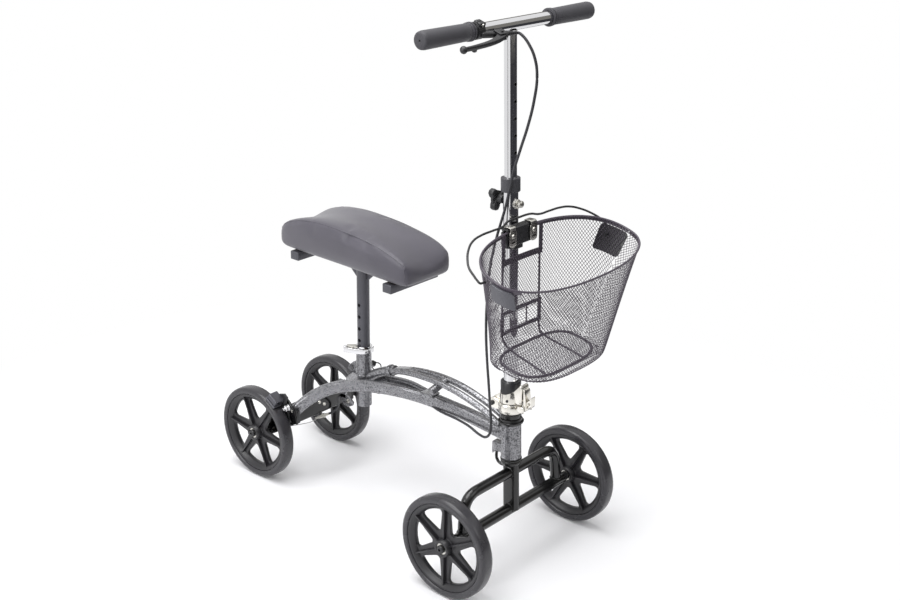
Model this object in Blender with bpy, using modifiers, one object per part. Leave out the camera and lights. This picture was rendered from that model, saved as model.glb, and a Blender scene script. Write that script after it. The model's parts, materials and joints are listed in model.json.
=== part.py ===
# Knee walker: a four-wheeled scooter for a bent knee, with a tiller, a brake and a front basket.
# Metres, +Z up. The front is -Y and the rider's right hand is on -X.
# The origin is on the floor, at the middle of the outer box.

import math

import bmesh
import bpy
from mathutils import Euler, Matrix, Vector

# Clearances
GAP = 0.0003
SLIDE_GAP = 0.0003
TURN_GAP = 0.0004
WELD = 0.00001
FLAT_ANGLE = math.radians(0.4)

# Wheels
WHEEL_D = 0.200
TYRE_W = 0.028
TYRE_DEPTH = 0.015
RIM_W = 0.022
RIM_BAND = 0.0115
WEB_T = 0.007
SPOKES = 6
SPOKE_W = 0.017
SPOKE_RIB_T = 0.003
HUB_D = 0.034
HUB_L = 0.0312
AXLE_D = 0.010
AXLE_HEAD_D = 0.016
AXLE_HEAD_T = 0.004
SPACER_D = 0.018
WHEELBASE = 0.5967
FRONT_TRACK = 0.372
REAR_TRACK = 0.226
TURNED_SPOKES = math.radians(20)
WHEEL_SIDES = 28

# Steering column. S is the height along the leaning axis, from the front axle.
RAKE = math.radians(2.3)
HEAD_TUBE_D = 0.0385
HEAD_TUBE_BORE_D = 0.031
HEAD_TUBE_S = 0.102
HEAD_TUBE_L = 0.070
UPPER_CUP_D = 0.047
UPPER_CUP_T = 0.012
LOWER_CUP_T = 0.004
STEERER_D = 0.0254
CROWN_T = 0.010
COLUMN_D = 0.027
COLUMN_TOP_S = 0.645
STEM_D = 0.0222
STEM_BOTTOM_S = 0.455
BAR_S = 0.908
BAR_D = 0.0222
BAR_L = 0.446
GRIP_D = 0.031
GRIP_L = 0.121
GRIP_END_T = 0.0018
HEIGHT_HOLES = 5
HEIGHT_HOLE_PITCH = 0.0296
HEIGHT_HOLE_TOP_S = 0.8085
HEIGHT_HOLE_D = 0.0075
CLAMP_D = 0.0345
CLAMP_S = 0.621
CLAMP_H = 0.0245
PIN_S = 0.6005

# Column fold at the foot of the column
HINGE_S = 0.2138
HINGE_BASE_D = 0.041
HINGE_BASE_T = 0.016
HINGE_HEAD_T = 0.021
HINGE_PIN_V = 0.034
HINGE_PIN_S = 0.207
HINGE_PIN_D = 0.007
HINGE_EAR_D = 0.015
COLLAR_D = 0.0375
COLLAR_H = 0.028
LEVER_PIVOT_V = -0.0375
LEVER_PIVOT_S = 0.2045

# Front axle frame
TOP_BAR_S = 0.077
TOP_BAR_D = 0.0205
LOWER_BAR_D = 0.022
FRONT_SPACER_L = 0.0097
LOOP_FOOT_INSET = 0.020
LOOP_LEG_REACH = 0.040
LOOP_BEND_R = 0.034
POST_W = 0.0165
POST_DEPTH = 0.034

# Frame rails. Y is measured back from the rear axle, so the front is negative.
RAIL_W = 0.0145
RAIL_H = 0.026
RAIL_FOOT_INSET = 0.018
LOWER_RAIL_SOCKET_X = 0.0235
LOWER_RAIL_HEAD_X = 0.015
UPPER_RAIL_D = 0.0155
UPPER_RAIL_X = 0.011
RAIL_SLEEVE_D = 0.0195
CROSS_TUBE_D = 0.016
CROSS_TUBE_L = 0.062
CROSS_TUBE_Y = -0.415
CROSS_TUBE_Z = 0.302

# Rear beam and axles
BEAM_Y = -0.075
BEAM_Z = 0.152
BEAM_INSET = 0.030
BEAM_D = 0.025
BEAM_H = 0.038
END_BLOCK_T = 0.008
END_BLOCK_D = 0.030
END_BLOCK_H = 0.044
AXLE_ARM_T = 0.006
AXLE_ARM_R = 0.016

# Seat post, socket and seat
POST_Y = -0.206
SEAT_POST_D = 0.0254
SOCKET_D = 0.0318
SOCKET_BOTTOM_Z = 0.190
SOCKET_TOP_Z = 0.304
SEAT_POST_BOTTOM_Z = 0.212
SEAT_POST_TOP_Z = 0.4705
SEAT_HOLES = 8
SEAT_HOLE_PITCH = 0.0254
SEAT_HOLE_TOP_Z = 0.4110
SEAT_HOLE_D = 0.0078
SEAT_TRAVEL = 0.1016
SEAT_CLAMP_D = 0.040
SEAT_CLAMP_H = 0.0215
SEAT_RAIL_W = 0.030
SEAT_RAIL_H = 0.0165
GUSSET_REACH = 0.042
GUSSET_DROP = 0.0265
GUSSET_T = 0.004
PAD_HALF_W = 0.0685
PAD_BOTTOM_Z = 0.508
PAD_DIP = 0.007
BATTEN_D = 0.022
BATTEN_L = 0.128
BATTEN_H = 0.018
FRONT_BATTEN_Y = -0.142
REAR_BATTEN_Y = 0.136
BOARD_T = 0.009
BOARD_L = 0.300
BOARD_W = 0.104

# Brake at the rider's right rear wheel
SHOE_GAP = 0.0022
SHOE_T = 0.009
SHOE_W = 0.027
SHOE_ANGLE = math.radians(128)
SHOE_SPAN = math.radians(20)
BRAKE_PIVOT_INSET = 0.020
BRAKE_PIVOT_Z = 0.168
BRAKE_PIVOT_D = 0.005
BRAKE_BOSS_D = 0.0095
BRAKE_ARM_L = 0.043
SPRING_D = 0.0052
SPRING_WIRE_D = 0.0009
SPRING_CURLS = 8
SPRING_TOP_Z = 0.158
SPRING_L = 0.022
CABLE_D = 0.005
WIRE_D = 0.0016

# Basket, in the column's own V (backwards) and S (upwards)
BASKET_RIM_HALF_W = 0.1897
BASKET_RIM_BACK_V = -0.0315
BASKET_RIM_WIDE_V = -0.1232
BASKET_RIM_FRONT_V = -0.1915
BASKET_RIM_S = 0.5615
BASKET_RIM_SLOPE = 0.359
BASKET_RIM_WIRE_D = 0.004
BASKET_FLOOR_HALF_W = 0.1219
BASKET_FLOOR_BACK_V = -0.0350
BASKET_FLOOR_WIDE_V = -0.0762
BASKET_FLOOR_FRONT_V = -0.1520
BASKET_FLOOR_S = 0.348
BASKET_FLOOR_SLOPE = 0.2175
BASKET_SIDE_FLARE = 1.37
BASKET_FRONT_FLARE = 0.744
BASKET_WALL = 0.002
BASKET_BARS = (0, 39, 68, 90, 112, 141, 180, 219, 248, 270, 292, 321)
BASKET_BAR_TURN = 2.2
BASKET_WINDOW_W = 0.103
BASKET_WINDOW_LOW_S = 0.500
BASKET_WINDOW_TOP_S = 0.553
BRACKET_LOW_S = 0.520
BRACKET_TOP_S = 0.562
BRACKET_HALF_W = 0.040
BRACKET_PLATE_T = 0.004
HOOK_X = 0.0235
HOOK_W = 0.011
HOOK_T = 0.0025
BAIL_PIVOT_X = 0.1880
BAIL_END_X = 0.1650
BAIL_PIVOT_V = -0.0872
BAIL_PIVOT_S = 0.5184
BAIL_ANGLE = math.radians(40)
BAIL_REACH = 0.0900
BAIL_WIRE_D = 0.004

# Places that follow from the sizes above
# A wheel stands on one of its flat facets.
WHEEL_R = WHEEL_D / 2
RIM_D = WHEEL_D - 2 * TYRE_DEPTH
WINDOW_D = RIM_D - 2 * RIM_BAND
LOWER_BAR_L = FRONT_TRACK - HUB_L - 2 * (TURN_GAP + GAP + FRONT_SPACER_L)
LOOP_FOOT_X = LOWER_BAR_L / 2 - LOOP_FOOT_INSET
LOOP_SHOULDER_X = LOOP_FOOT_X - LOOP_LEG_REACH
BEAM_L = REAR_TRACK - 2 * BEAM_INSET
LOWER_RAIL_FOOT_X = BEAM_L / 2 - RAIL_FOOT_INSET
BRAKE_PIVOT_X = BRAKE_PIVOT_INSET - REAR_TRACK / 2
GRIP_INNER_X = BAR_L / 2 + GRIP_END_T - GRIP_L
AXLE_Z = WHEEL_R * math.cos(math.pi / WHEEL_SIDES)
RIM_FRONT_S = BASKET_RIM_S - BASKET_RIM_SLOPE * (BASKET_RIM_BACK_V - BASKET_RIM_FRONT_V)
BASKET_REACH = (-(BASKET_RIM_FRONT_V - BASKET_RIM_WIRE_D / 2) * math.cos(RAKE)
                - RIM_FRONT_S * math.sin(RAKE))
HALF_LENGTH = (WHEELBASE + AXLE_Z + BASKET_REACH) / 2
REAR_Y = HALF_LENGTH - AXLE_Z
FRONT_Y = REAR_Y - WHEELBASE
HEAD_TUBE_TOP_S = HEAD_TUBE_S + HEAD_TUBE_L
CUP_TOP_S = HEAD_TUBE_TOP_S + GAP + UPPER_CUP_T
BASE_S = HINGE_S - GAP - HINGE_BASE_T
LOWER_CUP_S = HEAD_TUBE_S - GAP - LOWER_CUP_T
CROWN_TOP_S = LOWER_CUP_S - GAP
POST_TOP_S = CROWN_TOP_S - CROWN_T

# Colours, roughness and metallic value of the real surfaces
FINISHES = {
    'hammered_grey': ((0.32, 0.32, 0.33), 0.45, 0.5),
    'gloss_black': ((0.02, 0.02, 0.022), 0.25, 0.2),
    'chrome': ((0.75, 0.75, 0.76), 0.12, 1.0),
    'dark_steel': ((0.06, 0.06, 0.065), 0.4, 0.6),
    'black_plastic': ((0.03, 0.03, 0.033), 0.5, 0.0),
    'tyre_grey': ((0.09, 0.09, 0.095), 0.7, 0.0),
    'rim_grey': ((0.05, 0.05, 0.055), 0.5, 0.0),
    'grip_rubber': ((0.06, 0.06, 0.065), 0.7, 0.0),
    'cable_jacket': ((0.04, 0.04, 0.042), 0.55, 0.0),
    'seat_vinyl': ((0.11, 0.11, 0.125), 0.55, 0.0),
    'basket_black': ((0.03, 0.03, 0.03), 0.5, 0.3),
    'plywood': ((0.45, 0.33, 0.2), 0.7, 0.0),
}


# The scene and its collections

def clear_scene():
    for obj in list(bpy.data.objects):
        bpy.data.objects.remove(obj, do_unlink=True)


clear_scene()
PARTS = bpy.data.collections.new('knee_walker')
bpy.context.scene.collection.children.link(PARTS)
RIGS = bpy.data.collections.new('axes')
bpy.context.scene.collection.children.link(RIGS)


def make_finish(name):
    colour, roughness, metallic = FINISHES[name]
    material = bpy.data.materials.new(name)
    material.use_nodes = True
    shader = material.node_tree.nodes['Principled BSDF']
    shader.inputs['Base Color'].default_value = (*colour, 1.0)
    shader.inputs['Roughness'].default_value = roughness
    shader.inputs['Metallic'].default_value = metallic
    material.diffuse_color = (*colour, 1.0)
    return material


MATERIALS = {name: make_finish(name) for name in FINISHES}
FRAME_SPACE = Matrix.Translation((0, REAR_Y, 0))
COLUMN_SPACE = Matrix.Translation((0, FRONT_Y, AXLE_Z)) @ Matrix.Rotation(-RAKE, 4, 'X')


def axis_empty(name, matrix, parent=None):
    empty = bpy.data.objects.new(name, None)
    empty.empty_display_size = 0.03
    RIGS.objects.link(empty)
    if parent:
        empty.parent = parent
    bpy.context.view_layer.update()
    empty.matrix_world = matrix
    bpy.context.view_layer.update()
    return empty


# Shape tools

def link(mesh, name='work'):
    obj = bpy.data.objects.new(name, mesh)
    PARTS.objects.link(obj)
    return obj


def from_bmesh(bm):
    mesh = bpy.data.meshes.new('work')
    bm.to_mesh(mesh)
    bm.free()
    return link(mesh)


def baked(obj):
    # One welded mesh of what an object's curve or modifiers make
    bpy.context.view_layer.update()
    graph = bpy.context.evaluated_depsgraph_get()
    mesh = bpy.data.meshes.new_from_object(obj.evaluated_get(graph), depsgraph=graph)
    bm = bmesh.new()
    bm.from_mesh(mesh)
    bmesh.ops.remove_doubles(bm, verts=bm.verts, dist=WELD)
    bmesh.ops.dissolve_degenerate(bm, edges=bm.edges, dist=WELD)
    bmesh.ops.dissolve_limit(bm, angle_limit=FLAT_ANGLE, verts=bm.verts, edges=bm.edges)
    bmesh.ops.recalc_face_normals(bm, faces=bm.faces)
    bm.to_mesh(mesh)
    bm.free()
    result = link(mesh)
    result.matrix_world = obj.matrix_world
    bpy.data.objects.remove(obj, do_unlink=True)
    return result


def moved(obj, matrix):
    obj.data.transform(matrix)
    return obj


def combine(body, others, operation):
    for other in others:
        step = body.modifiers.new(operation.lower(), 'BOOLEAN')
        step.operation = operation
        step.object = other
        step.solver = 'EXACT'
    body = baked(body)
    for other in others:
        bpy.data.objects.remove(other, do_unlink=True)
    return body


def joined(body, *others):
    return combine(body, others, 'UNION')


def cut(body, *others):
    return combine(body, others, 'DIFFERENCE')


def block(size, at, turn=(0, 0, 0), edge=0.0, rounds=2):
    bm = bmesh.new()
    matrix = Matrix.LocRotScale(Vector(at), Euler(turn), Vector(size))
    bmesh.ops.create_cube(bm, size=1.0, matrix=matrix)
    obj = from_bmesh(bm)
    if edge:
        bevel = obj.modifiers.new('edges', 'BEVEL')
        bevel.width = edge
        bevel.segments = rounds
        bevel.limit_method = 'NONE'
        obj = baked(obj)
    return obj


def rod(radius, start, end, sides=16, end_radius=None, edge=0.0):
    axis = Vector(end) - Vector(start)
    middle = (Vector(start) + Vector(end)) / 2
    matrix = Matrix.Translation(middle) @ axis.to_track_quat('Z', 'Y').to_matrix().to_4x4()
    bm = bmesh.new()
    bmesh.ops.create_cone(bm, cap_ends=True, segments=sides, radius1=radius,
                          radius2=radius if end_radius is None else end_radius,
                          depth=axis.length, matrix=matrix)
    obj = from_bmesh(bm)
    if edge:
        bevel = obj.modifiers.new('edges', 'BEVEL')
        bevel.width = edge
        bevel.segments = 2
        bevel.limit_method = 'ANGLE'
        bevel.angle_limit = math.radians(50)
        obj = baked(obj)
    return obj


def ball(radius, at, stretch=(1, 1, 1), rings=10, sides=16):
    bm = bmesh.new()
    matrix = Matrix.LocRotScale(Vector(at), Euler((0, 0, 0)), Vector(stretch))
    bmesh.ops.create_uvsphere(bm, u_segments=sides, v_segments=rings, radius=radius, matrix=matrix)
    return from_bmesh(bm)


def turned(profile, at=(0, 0, 0), axis=(0, 0, 1), sides=20, ring=False):
    # The profile runs down the outer side as (radius, height) pairs
    mesh = bpy.data.meshes.new('profile')
    points = [(radius, 0, height) for radius, height in profile]
    edges = [(i, i + 1) for i in range(len(points) - 1)]
    if ring:
        edges.append((len(points) - 1, 0))
    mesh.from_pydata(points, edges, [])
    obj = link(mesh)
    screw = obj.modifiers.new('turn', 'SCREW')
    screw.angle = math.tau
    screw.steps = sides
    screw.render_steps = sides
    screw.use_merge_vertices = True
    screw.merge_threshold = WELD
    obj = baked(obj)
    turn = Vector(axis).to_track_quat('Z', 'Y').to_matrix().to_4x4()
    return moved(obj, Matrix.Translation(at) @ turn)


def spline_curve(points, cyclic=False):
    curve = bpy.data.curves.new('route', 'CURVE')
    curve.dimensions = '3D'
    spline = curve.splines.new('POLY')
    spline.points.add(len(points) - 1)
    for target, point in zip(spline.points, points):
        target.co = (*point, 1.0)
    spline.use_cyclic_u = cyclic
    return curve


def tube(points, radius, resolution=5, cyclic=False):
    curve = spline_curve(points, cyclic)
    curve.bevel_depth = radius
    curve.bevel_resolution = resolution
    curve.use_fill_caps = not cyclic
    return baked(link(curve))


def swept(points, section):
    # A level section, as (sideways, upwards) pairs, drawn along a route
    outline = spline_curve([(side, up, 0) for side, up in section], cyclic=True)
    guide = link(outline)
    curve = spline_curve(points)
    curve.twist_mode = 'Z_UP'
    curve.bevel_mode = 'OBJECT'
    curve.bevel_object = guide
    curve.use_fill_caps = True
    obj = baked(link(curve))
    bpy.data.objects.remove(guide, do_unlink=True)
    return obj


def flat(outline, thickness, matrix, holes=()):
    # A flat outline in its own XY, as thick as said, half to each side
    curve = bpy.data.curves.new('outline', 'CURVE')
    curve.dimensions = '2D'
    curve.fill_mode = 'BOTH'
    curve.extrude = thickness / 2
    for loop in (outline, *holes):
        spline = curve.splines.new('POLY')
        spline.points.add(len(loop) - 1)
        for target, point in zip(spline.points, loop):
            target.co = (point[0], point[1], 0, 1)
        spline.use_cyclic_u = True
    return moved(baked(link(curve)), matrix)


SIDE_ON = Matrix(((0, 0, 1, 0), (1, 0, 0, 0), (0, 1, 0, 0), (0, 0, 0, 1)))


def side_plate(outline, thickness, x, holes=()):
    # An outline of (backwards, upwards) pairs, standing across X
    return flat(outline, thickness, Matrix.Translation((x, 0, 0)) @ SIDE_ON, holes)


def filleted(corners, radius, steps=4):
    # A closed outline with each corner replaced by an arc that the sides touch
    outline = []
    count = len(corners)
    for i in range(count):
        corner = Vector(corners[i])
        before = (Vector(corners[i - 1]) - corner)
        after = (Vector(corners[(i + 1) % count]) - corner)
        half = before.angle(after) / 2
        reach = min(radius / math.tan(half), 0.48 * before.length, 0.48 * after.length)
        size = reach * math.tan(half)
        centre = corner + (before.normalized() + after.normalized()).normalized() * (size / math.sin(half))
        start = corner + before.normalized() * reach - centre
        end = corner + after.normalized() * reach - centre
        sweep = start.angle_signed(end)
        for k in range(steps + 1):
            spoke = start.copy()
            spoke.rotate(Matrix.Rotation(-sweep * k / steps, 2))
            outline.append(tuple(centre + spoke))
    return outline


def circle(radius, count=24, centre=(0, 0)):
    return [(centre[0] + radius * math.cos(math.tau * i / count),
             centre[1] + radius * math.sin(math.tau * i / count)) for i in range(count)]


def smooth_route(knots, count):
    # Evenly spaced points of the smooth curve through the route's own points
    knots = [Vector(knot) for knot in knots]
    dense = []
    for i in range(len(knots) - 1):
        p1, p2 = knots[i], knots[i + 1]
        p0 = knots[i - 1] if i else p1 * 2 - p2
        p3 = knots[i + 2] if i + 2 < len(knots) else p2 * 2 - p1
        d01, d12, d23 = ((b - a).length ** 0.5 for a, b in ((p0, p1), (p1, p2), (p2, p3)))
        t1 = (p2 - p0) / (d01 + d12) * d12
        t2 = (p3 - p1) / (d12 + d23) * d12
        for k in range(16):
            t = k / 16
            dense.append(p1 * (2 * t ** 3 - 3 * t ** 2 + 1) + t1 * (t ** 3 - 2 * t ** 2 + t)
                         + p2 * (3 * t ** 2 - 2 * t ** 3) + t2 * (t ** 3 - t ** 2))
    dense.append(knots[-1])
    lengths = [0.0]
    for a, b in zip(dense, dense[1:]):
        lengths.append(lengths[-1] + (b - a).length)
    points = []
    k = 0
    for i in range(count):
        wanted = lengths[-1] * i / (count - 1)
        while k < len(dense) - 2 and lengths[k + 1] < wanted:
            k += 1
        share = (wanted - lengths[k]) / (lengths[k + 1] - lengths[k])
        points.append(dense[k].lerp(dense[k + 1], share))
    return points


def mirrored(obj):
    # A copy on the other side of the middle plane
    mesh = obj.data.copy()
    mesh.transform(Matrix.Scale(-1, 4, (1, 0, 0)))
    mesh.flip_normals()
    return link(mesh)


def placed(obj, name, finish, space, parent=None, smooth=35):
    obj.name = name
    obj.data.name = name
    obj.data.materials.clear()
    obj.data.materials.append(MATERIALS[finish])
    obj.data.shade_smooth()
    obj.data.set_sharp_from_angle(angle=math.radians(smooth))
    if parent:
        obj.parent = parent
    bpy.context.view_layer.update()
    obj.matrix_world = space
    return obj


# Wheels, built round the X axis with the wheel's middle at the origin

def tyre_mesh():
    half = TYRE_W / 2
    bore = RIM_D / 2 / math.cos(math.pi / WHEEL_SIDES) + GAP
    profile = [
        (bore, 0.76 * half),
        (WHEEL_R - 0.0058, half),
        (WHEEL_R - 0.0016, 0.80 * half),
        (WHEEL_R, 0.42 * half),
    ]
    profile += [(radius, -height) for radius, height in reversed(profile)]
    tyre = turned(profile, axis=(1, 0, 0), sides=WHEEL_SIDES, ring=True)
    return moved(tyre, Matrix.Rotation(math.pi / WHEEL_SIDES, 4, 'X'))


def window_outline(middle):
    # One rounded opening between two spokes
    spread = math.pi / SPOKES
    inner = HUB_D / 2 + 0.010
    outer = WINDOW_D / 2
    half = SPOKE_W / 2

    def on_edge(radius, side):
        along = math.sqrt(radius ** 2 - half ** 2)
        angle = side * (spread - math.atan2(half, along))
        return angle

    last = on_edge(outer, 1)
    corners = [(inner, 0.0), (outer, last), (outer * 1.02, 0.0), (outer, -last)]
    points = [(radius * math.cos(middle + angle), radius * math.sin(middle + angle))
              for radius, angle in corners]
    return filleted(points, 0.0075, 2)


def rim_mesh():
    half = RIM_W / 2
    inside = WEB_T / 2 - 0.0006
    ring = turned([
        (WINDOW_D / 2 + 0.002, inside),
        (RIM_D / 2 - 0.002, half),
        (RIM_D / 2, half - 0.002),
        (RIM_D / 2, 0.002 - half),
        (RIM_D / 2 - 0.002, -half),
        (WINDOW_D / 2 + 0.002, -inside),
    ], axis=(1, 0, 0), sides=WHEEL_SIDES, ring=True)
    step = math.tau / SPOKES
    windows = [window_outline(step * (k + 0.5)) for k in range(SPOKES)]
    web = side_plate(circle(RIM_D / 2 - 0.006, WHEEL_SIDES), WEB_T, 0, windows)
    hub = turned([
        (0, HUB_L / 2),
        (HUB_D / 2, HUB_L / 2),
        (HUB_D / 2, -HUB_L / 2),
        (0, -HUB_L / 2),
    ], axis=(1, 0, 0), sides=16)
    moved(hub, Matrix.Rotation(0.11, 4, 'X'))
    rib_length = RIM_D - 0.006
    wheel = joined(web, ring)
    for k in range(SPOKES // 2):
        rib = block((RIM_W - 0.003, rib_length, SPOKE_RIB_T), (0, 0, 0))
        wheel = joined(wheel, moved(rib, Matrix.Rotation(step * k, 4, 'X')))
    wheel = joined(wheel, hub)
    bore = rod(AXLE_D / 2 + TURN_GAP, (-HUB_L, 0, 0), (HUB_L, 0, 0), sides=12)
    return cut(wheel, bore)


def make_wheels(axes):
    tyre = tyre_mesh()
    rim = rim_mesh()
    upright = math.pi / 2
    starts = {
        'front_right': upright,
        'front_left': upright + TURNED_SPOKES,
        'rear_right': upright + TURNED_SPOKES,
        'rear_left': upright,
    }
    for place, start in starts.items():
        axle = axes[place]
        placed(link(tyre.data), place + '_tyre', 'tyre_grey', axle.matrix_world, axle)
        turn = Matrix.Rotation(start, 4, 'X')
        placed(link(rim.data), place + '_rim', 'rim_grey', axle.matrix_world @ turn, axle)
    bpy.data.objects.remove(tyre, do_unlink=True)
    bpy.data.objects.remove(rim, do_unlink=True)


# Front axle frame, in the column's space

def loop_route():
    # Half of the arched bar: the level top, a bend, then a leg that spreads to its foot
    foot = Vector((LOOP_FOOT_X, 0, LOWER_BAR_D / 2 - 0.004))
    shoulder = Vector((LOOP_SHOULDER_X + LOOP_BEND_R, 0, TOP_BAR_S))
    corners = [Vector((0, 0, TOP_BAR_S)), shoulder, foot]
    back = (corners[0] - corners[1]).normalized()
    down = (corners[2] - corners[1]).normalized()
    half = back.angle(down) / 2
    reach = LOOP_BEND_R / math.tan(half)
    centre = corners[1] + (back + down).normalized() * (LOOP_BEND_R / math.sin(half))
    start = corners[1] + back * reach - centre
    end = corners[1] + down * reach - centre
    points = [corners[0]]
    turn_axis = start.cross(end).normalized()
    sweep = start.angle(end)
    for k in range(7):
        spoke = start.copy()
        spoke.rotate(Matrix.Rotation(sweep * k / 6, 3, turn_axis))
        points.append(centre + spoke)
    points.append(foot)
    return points


def make_front_frame(steering):
    half = loop_route()
    route = [Vector((-p.x, p.y, p.z)) for p in reversed(half[1:])] + half
    loop = tube(route, TOP_BAR_D / 2, 4)
    foot_bar = rod(LOWER_BAR_D / 2 + GAP, (-0.2, 0, 0), (0.2, 0, 0), 24)
    loop = cut(loop, foot_bar)
    placed(loop, 'front_loop_bar', 'gloss_black', COLUMN_SPACE, steering)

    end = LOWER_BAR_L / 2
    bar = rod(LOWER_BAR_D / 2, (-end, 0, 0), (end, 0, 0), 24)
    placed(bar, 'front_axle_bar', 'gloss_black', COLUMN_SPACE, steering)

    oval = oval_outline(POST_W, POST_DEPTH, 5)
    height = POST_TOP_S
    post = flat(oval, height, Matrix.Translation((0, 0, height / 2)))
    foot_bar = rod(LOWER_BAR_D / 2 + GAP, (-0.05, 0, 0), (0.05, 0, 0), 24)
    top_bar = rod(TOP_BAR_D / 2 + GAP, (-0.05, 0, TOP_BAR_S), (0.05, 0, TOP_BAR_S), 20)
    post = cut(post, foot_bar, top_bar)
    below = block((0.05, 0.05, 0.02), (0, 0, -0.01))
    post = cut(post, below)
    placed(post, 'centre_post', 'gloss_black', COLUMN_SPACE, steering)

    crown = turned([
        (0, BASE_S - GAP),
        (STEERER_D / 2, BASE_S - GAP),
        (STEERER_D / 2, CROWN_TOP_S),
        (HEAD_TUBE_D / 2 - 0.0005, CROWN_TOP_S),
        (HEAD_TUBE_D / 2 - 0.0015, CROWN_TOP_S - 0.003),
        (POST_DEPTH / 2 - 0.001, POST_TOP_S + GAP),
        (0, POST_TOP_S + GAP),
    ], sides=24)
    hook_route = [
        (0, 0.014, CROWN_TOP_S - 0.004),
        (0, 0.021, CROWN_TOP_S - 0.006),
        (0, 0.0275, CROWN_TOP_S - 0.003),
        (0, 0.0300, CROWN_TOP_S + 0.004),
        (0, 0.0290, CROWN_TOP_S + 0.011),
    ]
    hook = tube(smooth_route(hook_route, 7), 0.0025, 1)
    crown = joined(crown, hook)
    placed(crown, 'steerer_crown', 'gloss_black', COLUMN_SPACE, steering)

    for side, name in ((-1, 'right'), (1, 'left')):
        inner = end + GAP
        hub_inner = FRONT_TRACK / 2 - HUB_L / 2 - TURN_GAP
        head = FRONT_TRACK / 2 + HUB_L / 2 + TURN_GAP
        bolt = turned([
            (0, head + AXLE_HEAD_T),
            (AXLE_HEAD_D / 2 - 0.001, head + AXLE_HEAD_T),
            (AXLE_HEAD_D / 2, head),
            (AXLE_D / 2, head),
            (AXLE_D / 2, hub_inner),
            (SPACER_D / 2, hub_inner),
            (SPACER_D / 2, inner),
            (0, inner),
        ], axis=(side, 0, 0), sides=14)
        placed(bolt, 'front_axle_bolt_' + name, 'dark_steel', COLUMN_SPACE, steering)


def oval_outline(width, length, steps):
    # A flat-sided oval: two half circles and the straight sides between them
    radius = width / 2
    straight = length / 2 - radius
    points = []
    for k in range(steps + 1):
        angle = math.pi * k / steps
        points.append((radius * math.cos(angle), straight + radius * math.sin(angle)))
    for k in range(steps + 1):
        angle = math.pi + math.pi * k / steps
        points.append((radius * math.cos(angle), -straight + radius * math.sin(angle)))
    return points


# Fold joint and column, in the column's space

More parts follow.
